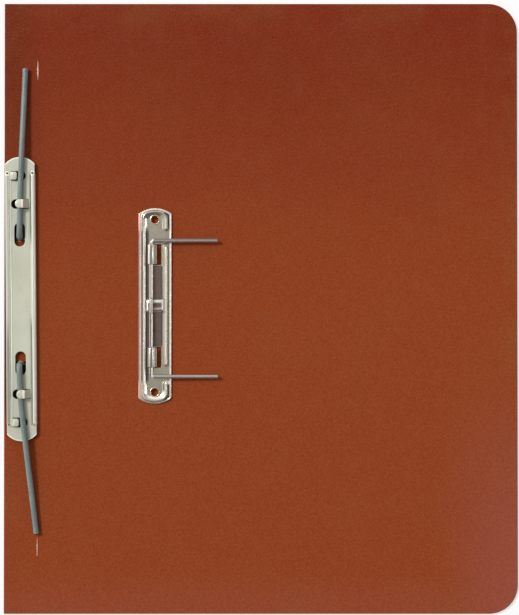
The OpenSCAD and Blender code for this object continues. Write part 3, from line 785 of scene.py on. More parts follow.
def finish_of(name):
    """The finish with this name, made when it is first asked for."""
    if name in bpy.data.materials and bpy.data.materials[name].get("spring_file"):
        return bpy.data.materials[name]
    c = colours()
    metals = {
        "plated_plate": dict(
            colour=c.plate, stain=(0.42, 0.37, 0.30), rough=0.27, pitch=0.5, tinge=flange_board_reflection),
        "plated_wire": dict(
            colour=c.wire, stain=(0.45, 0.38, 0.34), rough=0.24, pitch=0.4, stained=0.25, grain=0.015),
        "eyelet_metal": dict(colour=c.eyelet, stain=(0.45, 0.30, 0.20), rough=0.28, pitch=0.4),
        "spring_steel": dict(
            colour=c.leaf, stain=(0.12, 0.085, 0.07), rough=0.36, pitch=0.35, turn=math.pi / 2,
            patch=5.0, stained=0.5),
        "tinplate": dict(
            colour=c.bar, stain=(0.62, 0.60, 0.56), rough=0.38, pitch=0.6, patch=16.0, stained=0.25,
            grain=0.03, metallic=0.3),
        # Near-black so that the anchor strip seen through the slots gives them painted shade
        "plain_steel": dict(
            colour=c.steel, stain=(0.03, 0.022, 0.016), rough=0.4, pitch=0.4, patch=7.0, stained=0.4),
    }
    others = {"manilla_board": board_material, "raw_board": raw_board_material, "grey_tube": tube_material}
    material = others[name]() if name in others else metal_material(name, **metals[name])
    material["spring_file"] = True
    return material


def shaped(carrier, tree, values):
    """Points in millimetres and faces that a node tree makes from an object, which is removed."""
    modifier = carrier.modifiers.new("shape", "NODES")
    modifier.node_group = tree
    for item in tree.interface.items_tree:
        if item.item_type == "SOCKET" and item.in_out == "INPUT" and item.name in values:
            modifier[item.identifier] = values[item.name]
    bpy.context.view_layer.update()
    ready = carrier.evaluated_get(bpy.context.evaluated_depsgraph_get())
    start, made = carrier.data, bpy.data.meshes.new_from_object(ready)
    carrier.modifiers.remove(modifier)
    verts = np.zeros(len(made.vertices) * 3)
    made.vertices.foreach_get("co", verts)
    faces = [tuple(p.vertices) for p in made.polygons]
    bpy.data.objects.remove(carrier)
    for mesh in (start, made):
        bpy.data.meshes.remove(mesh)
    return verts.reshape(-1, 3) / MM, faces


def host(name, verts, edges, faces=()):
    """A plain object that carries the points a node tree starts from."""
    mesh = bpy.data.meshes.new(name)
    mesh.from_pydata((np.asarray(verts) * MM).tolist(), edges, [list(f) for f in faces])
    piece = bpy.data.objects.new(name, mesh)
    bpy.context.scene.collection.objects.link(piece)
    return piece


def finished(n, shape, given):
    """The end of a tree: instances made real, with the finish set."""
    whole = n.add("GeometryNodeRealizeInstances", {"Geometry": shape}).outputs[0]
    return n.add("GeometryNodeSetMaterial", {"Geometry": whole, "Material": given["Finish"]}).outputs[0]


def round_path_tree():
    """Sweeps a round section along a path; the attribute half_width is its share of the radius."""
    def fill(n, given):
        curve = n.add("GeometryNodeMeshToCurve", {0: given["Path"]}).outputs[0]
        share = n.add("GeometryNodeInputNamedAttribute", {"Name": "half_width"}, data_type="FLOAT").outputs[0]
        ring = n.add("GeometryNodeCurvePrimitiveCircle",
                     {"Resolution": given["Sides"], "Radius": given["Radius"]}).outputs["Curve"]
        skin = n.add("GeometryNodeCurveToMesh", {
            "Curve": curve, "Profile Curve": ring, "Scale": share, "Fill Caps": True}).outputs[0]
        return {"Swept": finished(n, skin, given)}

    return node_group(
        "round_path", "GeometryNodeTree",
        [("Path", "Geometry", None), ("Radius", "Float", 0.001), ("Sides", "Int", 24),
         ("Finish", "Material", None)],
        [("Swept", "Geometry")], fill)


def repeat_tree():
    """Sets copies of a shape on a row of points."""
    def fill(n, given):
        row = n.add("GeometryNodeMeshLine", {
            "Count": given["Count"], "Start Location": given["First"], "Offset": given["Step"]}).outputs[0]
        copies = n.add("GeometryNodeInstanceOnPoints", {"Points": row, "Instance": given["Shape"]})
        return {"Row": finished(n, copies.outputs[0], given)}

    return node_group(
        "repeat_along", "GeometryNodeTree",
        [("Shape", "Geometry", None), ("First", "Vector", None), ("Step", "Vector", None),
         ("Count", "Int", 2), ("Finish", "Material", None)],
        [("Row", "Geometry")], fill)


def swept(name, paths, radius, material, sides):
    """A round skin along paths, each with its points, its shares of the radius and whether it closes."""
    verts, shares, edges, count = [], [], [], 0
    for points, widths, closed in paths:
        n = len(points)
        verts.append(points)
        shares += list(widths)
        edges += [(count + i, count + i + 1) for i in range(n - 1)]
        if closed:
            edges.append((count + n - 1, count))
        count += n
    carrier = host(name + "_path", np.vstack(verts), edges)
    width = carrier.data.attributes.new("half_width", "FLOAT", "POINT")
    width.data.foreach_set("value", np.array(shares, np.float32))
    return shaped(carrier, round_path_tree(), {"Radius": radius * MM, "Sides": sides, "Finish": material})


def repeated(name, part, first, step, material):
    """Two copies of a part, a step apart."""
    carrier = host(name + "_shape", part[0], [], part[1])
    return shaped(carrier, repeat_tree(), {
        "First": metres(*first), "Step": metres(*step), "Count": 2, "Finish": material})


# Boards

HOLE_W, HOLE_L, HOLE_MID = 4.6, 11.0, 3.6
SLIT_X, SLIT_Y = FIRST_CREASE - 1.6, 140.75
BOARD_PITCH, BOARD_SUPPORT = 9.0, 0.12
FOLD_STEPS, FOLD_EASE = 24, 0.05


def tube_places():
    """Where the two tubes come through the board, and the side to which they turn."""
    pairs = ((PEG_LOW, PEG_HIGH, 1), (PEG2_LOW, PEG2_HIGH, -1))
    return [((a[0] + b[0]) / 2, (a[1] + b[1]) / 2, side) for a, b, side in pairs]


def eyelet_places():
    """Where the two eyelets lie."""
    pairs = ((EYELET_LOW, EYELET_HIGH), (EYELET2_LOW, EYELET2_HIGH))
    return [((a[0] + b[0]) / 2, (a[1] + b[1]) / 2) for a, b in pairs]


def slit_places():
    """Where the two slits lie, just right of the cover bar."""
    return [(SLIT_X, SLIT_Y), (SLIT_X, -SLIT_Y)]


def split_by_x(verts, faces, cuts):
    """The parts of a mesh between places across X."""
    middles = np.array([verts[list(f)].mean(0)[0] for f in faces])
    parts = []
    for low, high in zip([-1e9, *cuts], [*cuts, 1e9]):
        chosen = [f for f, x in zip(faces, middles) if low < x < high]
        used = sorted({i for f in chosen for i in f})
        place = {old: new for new, old in enumerate(used)}
        parts.append((verts[used], [tuple(place[i] for i in f) for f in chosen]))
    return parts


def board_outline(left, right, radius, stops):
    """Outline of a board with its right corners rounded and points at stops on both ends."""
    low = [(x, -HALF_H) for x in stops]
    top = [(x, HALF_H) for x in reversed(stops)]
    loop = np.vstack([
        [(left, -HALF_H)], np.array(low).reshape(-1, 2),
        arc(right - radius, radius - HALF_H, radius, 270, 360, 14),
        arc(right - radius, HALF_H - radius, radius, 0, 90, 14),
        np.array(top).reshape(-1, 2), [(left, HALF_H)]])
    return densified(loop, 7.0)


def board_edge(x, y):
    """Rounding of a board's edge, with none where it meets the fold."""
    return 0.0 if x < FOLD_X + 1e-6 else in_mm("board_edge")


class SPRINGFILE_OT_boards(bpy.types.Operator):
    """Make the strip, spine, covers, creases and fold of manilla board"""

    bl_idname = "spring_file.boards"
    bl_label = "Boards"

    def execute(self, context):
        board = finish_of("manilla_board")
        self.panels(board)
        self.front_leaf(board)
        self.front_fold(board)
        self.raw_lips(finish_of("raw_board"))
        return {"FINISHED"}

    def panels(self, board):
        """The strip, the spine and the back cover, cut from one sheet, with the creases between them."""
        band, groove = in_mm("crease_band"), in_mm("crease_depth")
        cuts = [FIRST_CREASE - band, FIRST_CREASE + band, SECOND_CREASE - band, SECOND_CREASE + band]
        stops = [c + band * k / 5 for c in (FIRST_CREASE, SECOND_CREASE) for k in range(-5, 6)]
        loops = [board_outline(FOLD_X, RIGHT_X, CORNER_R, stops)]
        loops += [stadium(x, y + side * HOLE_MID, HOLE_W, HOLE_L)[::-1] for x, y, side in tube_places()]
        loops += [lens(*place, in_mm("slit_width"), in_mm("slit_length"))[::-1] for place in slit_places()]
        loops += [disc(*place, EYELET_HOLE_R)[::-1] for place in eyelet_places()]

        def scored(x, y):
            dip = np.zeros(len(x))
            for crease in (FIRST_CREASE, SECOND_CREASE):
                dip -= groove * np.exp(-((x - crease) / 0.45) ** 2)
            return dip

        whole = sheet(loops, PANEL_Z, PANEL_TOP, board_edge, BOARD_PITCH, BOARD_SUPPORT,
                      height=scored, columns=stops)
        parts = split_by_x(*whole, cuts)
        names = ["strip_board", "first_crease", "spine_board", "second_crease", "back_board"]
        nodes = [("binding_strip",), (), ("spine_panel",), (), ("back_cover",)]
        pieces = [new_piece(new_mesh(name, *part), board, stood)
                  for name, part, stood in zip(names, parts, nodes)]
        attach(pieces[0], "binding_strip")
        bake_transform(pieces[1])
        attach(pieces[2], "spine_panel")
        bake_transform(pieces[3])
        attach(pieces[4], "back_cover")

    def front_leaf(self, board):
        """The front half of the cover, under the file."""
        loop = board_outline(FOLD_X, LEAF_HIGH[0], CORNER_R, [])
        leaf = sheet([loop], LEAF_LOW[2], LEAF_HIGH[2], board_edge, BOARD_PITCH, BOARD_SUPPORT)
        piece = new_piece(new_mesh("leaf_board", *leaf), board, ("front_leaf",))
        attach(piece, "front_leaf")

    def front_fold(self, board):
        """The bent stretch of board between the binding strip and the front leaf."""
        hollow = FOLD_R - (PANEL_TOP - PANEL_Z)
        outer, inner = arc(0, 0, FOLD_R, 90, 270, FOLD_STEPS), arc(0, 0, hollow, 270, 90, FOLD_STEPS)
        section = np.vstack([outer, inner])
        shy = np.vstack([outer * (FOLD_R - FOLD_EASE) / FOLD_R, inner * (hollow + FOLD_EASE) / hollow])
        plans = [(-HALF_H, shy), (FOLD_EASE - HALF_H, section)]
        plans += [(y, section) for y in np.linspace(-160, 160, 17)]
        plans += [(HALF_H - FOLD_EASE, section), (HALF_H, shy)]
        rings = [upright(plan, FOLD_X, y, FOLD_Z) for y, plan in plans]
        verts, faces = loft(rings, tips=False)
        n = len(section)
        for at in (0, (len(rings) - 1) * n):
            for i in range(FOLD_STEPS):
                faces.append((at + i, at + i + 1, at + n - 2 - i, at + n - 1 - i))
        fold = new_piece(new_mesh("fold_board", verts, faces), board, ("front_fold",))
        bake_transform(fold)

    def raw_lips(self, raw):
        """The torn fibres along the slits and the tube holes."""
        bead = in_mm("lip")
        paths = []
        for (x, y), lift in zip(slit_places(), (1.0, 0.6)):
            loop = lens(x, y, in_mm("slit_width") + bead * lift, in_mm("slit_length") + 0.3, 40)
            along = np.abs(loop[:, 1] - y) / in_mm("slit_length") * 2
            rough = lift * (0.3 + 0.75 * np.clip(1 - along ** 2, 0, 1))
            rough = rough + 0.08 * np.sin(np.arange(len(loop)) * 1.9)
            paths.append((np.column_stack([loop, np.full(len(loop), PANEL_TOP - 0.06)]), rough, True))
        for x, y, side in tube_places():
            turn = 180 if side > 0 else 0
            line = arc(x, y + side * (HOLE_MID - (HOLE_L - HOLE_W) / 2), HOLE_W / 2, turn, turn + 180, 36)
            rough = 0.85 + 0.3 * np.sin(np.arange(len(line)) * 1.7)
            rough = rough - 0.5 * np.abs(np.linspace(-1, 1, len(line)))
            paths.append((np.column_stack([line, np.full(len(line), PANEL_TOP - 0.05)]), rough, False))
        lips = swept("raw_lips", paths, bead, raw, sides=10)
        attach(new_piece(new_mesh("raw_lips", *lips), raw), "binding_strip")


# Spring plate

RIM_X, RIM_ARC_R, RIM_ARC_Y, END_R = 6.8, 13.9, 41.75, 16.0
BREAK_Y, BREAK_HALF = 40.0, 4.5
CURL_Y, CURL_L, CURL_END, CURL_TAIL = 30.3, 11.6, 50.0, 2.7
WINDOW_LEFT, WINDOW_RIGHT, WINDOW_L = -4.33, 3.8, 12.2


def soft_max(a, b, blend):
    """The greater of two values, rounded over where they cross."""
    h = np.maximum(blend - np.abs(a - b), 0) / blend
    return np.maximum(a, b) + h * h * blend / 4


def rim_share(u, v):
    """How far a place on the plate is from the rim's crest: 0 on it, 1 at its feet."""
    reach = np.hypot(u, np.maximum(np.abs(v) - RIM_ARC_Y, 0))
    off = soft_max(np.abs(u) - RIM_X, reach - RIM_ARC_R, 2.2)
    share = np.where(off < 0, -off / in_mm("rim_inner"), off / in_mm("rim_outer"))
    past = np.maximum(BREAK_HALF + 1.2 - np.abs(np.abs(v) - BREAK_Y), 0) * (u > 0)
    return np.clip(np.hypot(share, past / 1.5), 0, 1)


def edge_reach(u, v):
    """Distance from the plate's edge, and how much that edge faces the light."""
    past = np.maximum(np.abs(v) - RIM_ARC_Y, 0)
    reach = np.hypot(u, past)
    side, end = PLATE_W / 2 - np.abs(u), END_R - reach
    around = (LIGHT_Y * np.sign(v) * past + LIGHT_X * u) / np.maximum(reach, 1)
    return np.minimum(side, end), np.where(side < end, LIGHT_X * np.sign(u), around)


def rim_rise(x, y):
    """Height of the pressed rim over the plate's floor, with the shaded edges a little sprung."""
    u, v = x - PLATE_X, y - PLATE_Y
    share, knee = rim_share(u, v), 0.25
    share = (np.sqrt(share ** 2 + knee ** 2) - knee) / (math.sqrt(1 + knee ** 2) - knee)
    crest = 0.7 * (1 - share) + 0.3 * (0.5 + 0.5 * np.cos(math.pi * share))
    edge, facing = edge_reach(u, v)
    sprung = 0.28 * np.maximum(-facing, 0) * smooth(1.3, 0.2, edge)
    buckle = 0.018 * np.sin(u * 0.9 + v * 0.35) * np.sin(v * 0.21 + 1.0)
    return in_mm("rim_height") * crest + sprung + buckle * smooth(0.0, 2.0, PLATE_W / 2 - np.abs(u))


class SPRINGFILE_OT_spring_plate(bpy.types.Operator):
    """Make the pressed spring plate with its rim, windows and curls"""

    bl_idname = "spring_file.spring_plate"
    bl_label = "Spring plate"

    def execute(self, context):
        metal = finish_of("plated_plate")
        outline = round_ended(PLATE_X, PLATE_Y, PLATE_W, PLATE_L, END_R, corner=0.9)
        loops = [densified(outline, step=0.4)]
        loops += [disc(*place, EYELET_HOLE_R, 48)[::-1] for place in eyelet_places()]
        for side in (-1, 1):
            left, right = PLATE_X + WINDOW_LEFT, PLATE_X + WINDOW_RIGHT
            middle = PLATE_Y + side * CURL_Y
            low, high = middle - WINDOW_L / 2, middle + WINDOW_L / 2
            window = eased([(left, low), (right, low), (right, high), (left, high)], 0.5, 4)
            loops.append(densified(window, 0.4)[::-1])

        def edge(x, y):
            return in_mm("plate_edge") * (1 if edge_reach(x - PLATE_X, y - PLATE_Y)[0] < 0.1 else 0.25)

        plate = sheet(loops, PANEL_TOP, FLOOR_TOP, edge, grid=0.34, support=0.2, height=rim_rise)
        thick = in_mm("curl_sheet")
        reach = WIRE_R + 0.1 + thick / 2
        turns = np.radians(np.linspace(180, CURL_END, 20))
        turn = [(reach * math.cos(a), reach * math.sin(a)) for a in turns]
        way = np.radians(CURL_END)
        end = (turn[-1][0] + CURL_TAIL * math.sin(way), turn[-1][1] - CURL_TAIL * math.cos(way))
        foot = FLOOR_TOP - thick / 2 - WIRE_Z
        rise = bent_path([(-reach - 0.9, foot), (-reach, foot), (-reach, 0)], [0.6])
        drop = bent_path([turn[-1], end], [])
        path = np.vstack([rise[:-1], turn, drop[1:]])
        curl = bent_tab(path, thick, CURL_L, tip_r=0.7, ease=0.25)
        curls = repeated("curls", curl, (WIRE_X, PLATE_Y - CURL_Y, WIRE_Z), (0, 2 * CURL_Y, 0), metal)
        mesh = new_mesh("spring_plate_pressed", *together([plate, curls]))

        # Distances in from the edge, and the marks there: painted highlight and wear up to 1, painted shade
        # and dirt down to -1
        left_light_and_wear = ([0.55, 0.75, 1.5, 1.7, 2.75, 2.95, 4.0, 4.2, 6.1, 6.4],
                     [-0.8, 0.7, 0.7, -1.0, -1.0, 1.0, 1.0, -0.95, -0.95, 0.0])
        right_light_and_wear = ([0.15, 0.3, 1.15, 1.4, 1.9, 2.3, 2.7, 3.2, 3.5, 4.8, 5.1, 5.8, 6.0],
                      [0.2, 0.9, 0.5, -0.5, -0.8, -0.45, 0.5, 0.6, -0.12, -0.2, -0.6, -0.6, 0.0])

        # Mostly painted light: highlights on the edges, the rim's crest and the curls, shade on the rim's
        # slopes and in its valleys
        def bright(x, y, z):
            u, v = x - PLATE_X, y - PLATE_Y
            edge_gap, share = edge_reach(u, v)[0], rim_share(u, v)
            top, low = smooth(44.0, 49.0, v), smooth(-46.0, -51.0, v)
            inner = (np.abs(u) < RIM_X) & (np.hypot(u, np.maximum(np.abs(v) - RIM_ARC_Y, 0)) < RIM_ARC_R)
            slope = inner * smooth(0.3, 0.5, share) * smooth(1.0, 0.9, share)
            marks = 0.7 * smooth(1.15, 0.75, edge_gap) * (1 - 0.9 * low)
            marks += 0.4 * smooth(0.45, 0.2, share) * (1 - top)
            foot = 0.9 * smooth(-49.0, -51.0, v) * smooth(7.0, 5.0, np.abs(u))
            marks += slope * (foot - (u > 4) * np.where(v > 0, 0.45, 0.8 * smooth(-51.0, -49.5, v)))
            marks -= smooth(4.0, 6.0, u) * smooth(1.15, 1.4, edge_gap) * smooth(2.7, 2.2, edge_gap)
            sides = np.where(u < 0, np.interp(edge_gap, *left_light_and_wear), np.interp(edge_gap, *right_light_and_wear))
            # Painted shade at the notches where the prongs cross the rim
            notch = (u > 0) * smooth(BREAK_HALF + 0.8, BREAK_HALF - 0.6, np.abs(np.abs(v) - BREAK_Y))
            notched = sides * (1 - notch) - np.where(v > 0, 0.5, 0.25) * notch * smooth(5.2, 3.5, edge_gap)
            sides = np.where(edge_gap > 1.3, notched, sides)
            straight = smooth(48.0, 43.0, np.abs(v))
            marks = marks * (1 - straight) + sides * straight
            stub = smooth(1.1, 0.5, np.abs(v + BREAK_Y + BREAK_HALF + 0.5))
            stub = stub * (u > RIM_X - 0.8) * (edge_gap > 0.6)
            marks = np.where(stub > 0.05, np.maximum(marks, stub), marks)
            # Painted shadow of the saddle on the right rim
            marks -= 0.35 * smooth(5.0, 4.2, np.abs(v)) * smooth(4.7, 5.0, u) * smooth(6.6, 6.2, u)
            marks = marks * (z > FLOOR_TOP - 0.4)
            # Painted highlight bands and a dark band across the curls
            t = x - WIRE_X - np.where(v > 0, 0.0, 0.4)
            roll = np.interp(t, [-1.9, -1.7, -0.95, -0.75, 0.4, 0.6, 1.8, 2.0, 2.4, 2.6],
                             [0.0, 1.0, 1.0, -0.85, -0.6, 1.0, 1.0, -0.2, -0.2, 0.4])
            roll = np.where((v < 0) & (t < -0.8), 0.2 * roll - 0.2, roll)
            return np.where(z > FLOOR_TOP + 1.25, roll, marks)

        mark_painted_light_and_wear(mesh, bright)
        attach(new_piece(mesh, metal, ("spring_plate",)), "back_cover")
        return {"FINISHED"}


class SPRINGFILE_OT_eyelets(bpy.types.Operator):
    """Make the two hollow rivets with rolled rims"""

    bl_idname = "spring_file.eyelets"
    bl_label = "Eyelets"

    def execute(self, context):
        metal = finish_of("eyelet_metal")
        bore, rim, ease = 2.2, EYELET_R, 0.3
        shank = bore + 0.35
        top, low = EYELET_HIGH[2], EYELET_LOW[2]
        head, clinch = top - FLOOR_TOP, PANEL_Z - low
        quarter = np.radians([0, 30, 60, 90])
        profile = [(bore, (top + low) / 2)]
        profile += [(bore + ease - ease * math.cos(a), low + ease - ease * math.sin(a)) for a in quarter]
        profile += [(rim - 0.25 + 0.25 * math.sin(a), low + 0.2 - 0.2 * math.cos(a)) for a in quarter]
        profile += [(rim - 0.02, low + clinch), (shank, low + clinch)]
        profile += [(shank, FLOOR_TOP), (rim - 0.02, FLOOR_TOP)]
        profile += [(rim - ease + ease * math.cos(a), top - head + head * (0.35 + 0.65 * math.sin(a)))
                    for a in np.radians([0, 25, 50, 70, 90])]
        profile += [(bore + ease - ease * math.sin(a), top - 0.35 + 0.35 * math.cos(a))
                    for a in np.radians([0, 25, 50, 75, 90])]
        rings = []
        for turn in np.linspace(0, 2 * math.pi, 48, endpoint=False):
            rings.append(np.array([(r * math.cos(turn), r * math.sin(turn), z) for r, z in profile]))
        rings.append(rings[0])
        part = loft(rings, tips=False)
        places = eyelet_places()
        first, step = (*places[1], 0), (0, places[0][1] - places[1][1], 0)
        pair = repeated("eyelets", part, first, step, metal)
        mesh = new_mesh("eyelets", *pair)
        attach(new_piece(mesh, metal, ("upper_eyelet", "lower_eyelet")), "back_cover")
        return {"FINISHED"}


class SPRINGFILE_OT_leaf_spring(bpy.types.Operator):
    """Make the leaf spring with its sloping limbs and domed saddle"""

    bl_idname = "spring_file.leaf_spring"
    bl_label = "Leaf spring"

    def execute(self, context):
        steel = finish_of("spring_steel")
        half_l = (SPRING_HIGH[1] - SPRING_LOW[1]) / 2
        ear = (SPRING_HIGH[0] - SPRING_LOW[0]) / 2 + 0.4
        limb = ear - 0.85
        half_s, thick = 3.5, 0.45
        right = [(limb, -half_l), (limb, -half_s - 0.9), (ear, -half_s),
                 (ear, half_s), (limb, half_s + 0.9), (limb, half_l)]
        plan = np.array(right + [(-x, y) for x, y in reversed(right)]) + [PLATE_X, PLATE_Y]
        loop = densified(eased(plan, [0.8, 0.5, 0.5, 0.5, 0.5, 0.8] * 2, 4), 0.4)
        top = SPRING_HIGH[2] - FLOOR_TOP - thick
        bulge = in_mm("saddle_height")

        def rise(x, y):
            u, v = x - PLATE_X, np.abs(y - PLATE_Y)
            limbs = (top - bulge) * smooth(half_l * 0.82, half_s + 0.5, v)
            gap = soft_max(np.abs(u) - ear, v - half_s, 1.6)
            hump = bulge * smooth(0.05, -0.9, gap)
            dish = 0.14 * smooth(-0.9, -2.4, gap)
            return limbs + hump - dish

        leaf = sheet([loop], FLOOR_TOP, FLOOR_TOP + thick, lambda x, y: 0.14,
                     grid=0.4, support=0.15, height=rise)
        mesh = new_mesh("leaf_spring_formed", *leaf)
        # Places up the saddle, and the painted highlight (above 0) and painted shade (below 0) there
        saddle_light_bands = ([-4.0, -3.6, -3.1, -2.5, -2.0, -1.4, -0.6, 0.2, 1.0, 1.7, 2.1, 3.4, 3.8],
                        [-0.2, 0.1, 0.7, -0.1, 0.3, 0.35, 0.0, -0.3, -0.3, 0.2, 0.8, 0.8, 0.03])

        # Painted light: the upper limb a little lighter, the lower one darker, and bands of highlight and
        # shade across the saddle
        def bright(x, y, z):
            u, w = np.abs(x - PLATE_X) - ear, y - PLATE_Y
            gap = soft_max(u, np.abs(w) - half_s, 1.6)
            limb = np.where(w > 0, 0.03, -0.2)
            across = np.interp(w, *saddle_light_bands)
            fading = np.interp(w, [1.4, 3.0], [1.0, 0.45])
            sides = smooth(-3.2, -2.4, w) * np.where(x < PLATE_X, fading, 1.0)
            turned = smooth(-1.3, -0.8, u)
            return np.where(gap > 0.4, limb, across * (1 - turned) + sides * turned)

        mark_painted_light_and_wear(mesh, bright)
        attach(new_piece(mesh, steel, ("leaf_spring",)), "back_cover")
        return {"FINISHED"}


class SPRINGFILE_OT_prong_wire(bpy.types.Operator):
    """Make the bent wire with its two prongs and the square on which the leaf presses"""

    bl_idname = "spring_file.prong_wire"
    bl_label = "Prong wire"

    def execute(self, context):
        metal = finish_of("plated_wire")
        top, low = WIRE_HIGH[1] - WIRE_R, WIRE_LOW[1] + WIRE_R
        tip, bend = WIRE_HIGH[0], 2.0
        flat = bent_path([(tip, top), (WIRE_X, top), (WIRE_X, low), (tip, low)], [bend, bend], 0.3)
        points = np.column_stack([flat, np.full(len(flat), WIRE_Z)])
        run = np.concatenate([[0], np.cumsum(np.linalg.norm(np.diff(points, axis=0), axis=1))])
        from_tip = np.minimum(run, run[-1] - run)
        share = 0.9 + 0.1 * smooth(2, 34, from_tip)
        nose = 0.6
        blunt = (nose - np.minimum(from_tip, nose)) / nose
        share *= np.sqrt(np.clip(1 - blunt ** 2, 0.02, 1)) * 0.45 + 0.55
        square_l, side = 9.0, 2.0
        away = np.abs(points[:, 1] - PLATE_Y) + 50 * (points[:, 0] > WIRE_X + 1)
        share *= 1 - 0.24 * smooth(square_l / 2 + 0.2, square_l / 2 - 0.6, away)
        wire = swept("wire", [(points, share, False)], WIRE_R, metal, sides=28)
        rings = []
        for y, grow in ((-4.5, 0.86), (-4.2, 0.97), (-3.9, 1), (0, 1), (3.9, 1), (4.2, 0.97), (4.5, 0.86)):
            plan = eased(SQUARE * side / 2 * grow, 0.28, 4)
            rings.append(upright(plan, WIRE_X, PLATE_Y + y, WIRE_Z))
        mesh = new_mesh("wire_bent", *together([wire, loft(rings)]))

        # Painted light: highlight lines and a dark line along the shaft, shade on its underside, on the
        # square and on the prongs' edges
        def bright(x, y, z):
            t, upper = x - WIRE_X, y > PLATE_Y
            shaft = np.interp(t, [-0.75, -0.6, 0.0, 0.12, 0.8, 1.0], [0.8, -0.65, -0.65, 1.0, 1.0, 0.6])
            shaft = np.where(upper | (t > 0.1), shaft, shaft - 0.3)
            shaft -= 0.45 * (np.abs(y - PLATE_Y) < square_l / 2 + 0.2)
            shaft = np.where(z < WIRE_Z + 0.1, -0.6, shaft)
            off = np.where(upper, y - top + 0.5, y - low)
            prong = np.interp(off, [-0.8, -0.45, 0.35, 0.75], [-0.6, 0.05, 0.05, -0.8])
            return np.where(t < WIRE_R + 0.3, shaft, prong)

        mark_painted_light_and_wear(mesh, bright)
        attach(new_piece(mesh, metal, ("prong_wire",)), "prong_wire")
        return {"FINISHED"}


# Cover bar and tubes

BAR_T, BAR_END_R, ROLL_L = 0.8, 11.5, 148.0
SLOT_Y, SLOT_X, SLOT_W, SLOT_L = 37.9, -0.4, 6.2, 14.0
INNER_Y, OUTER_Y = 56.0, 72.6


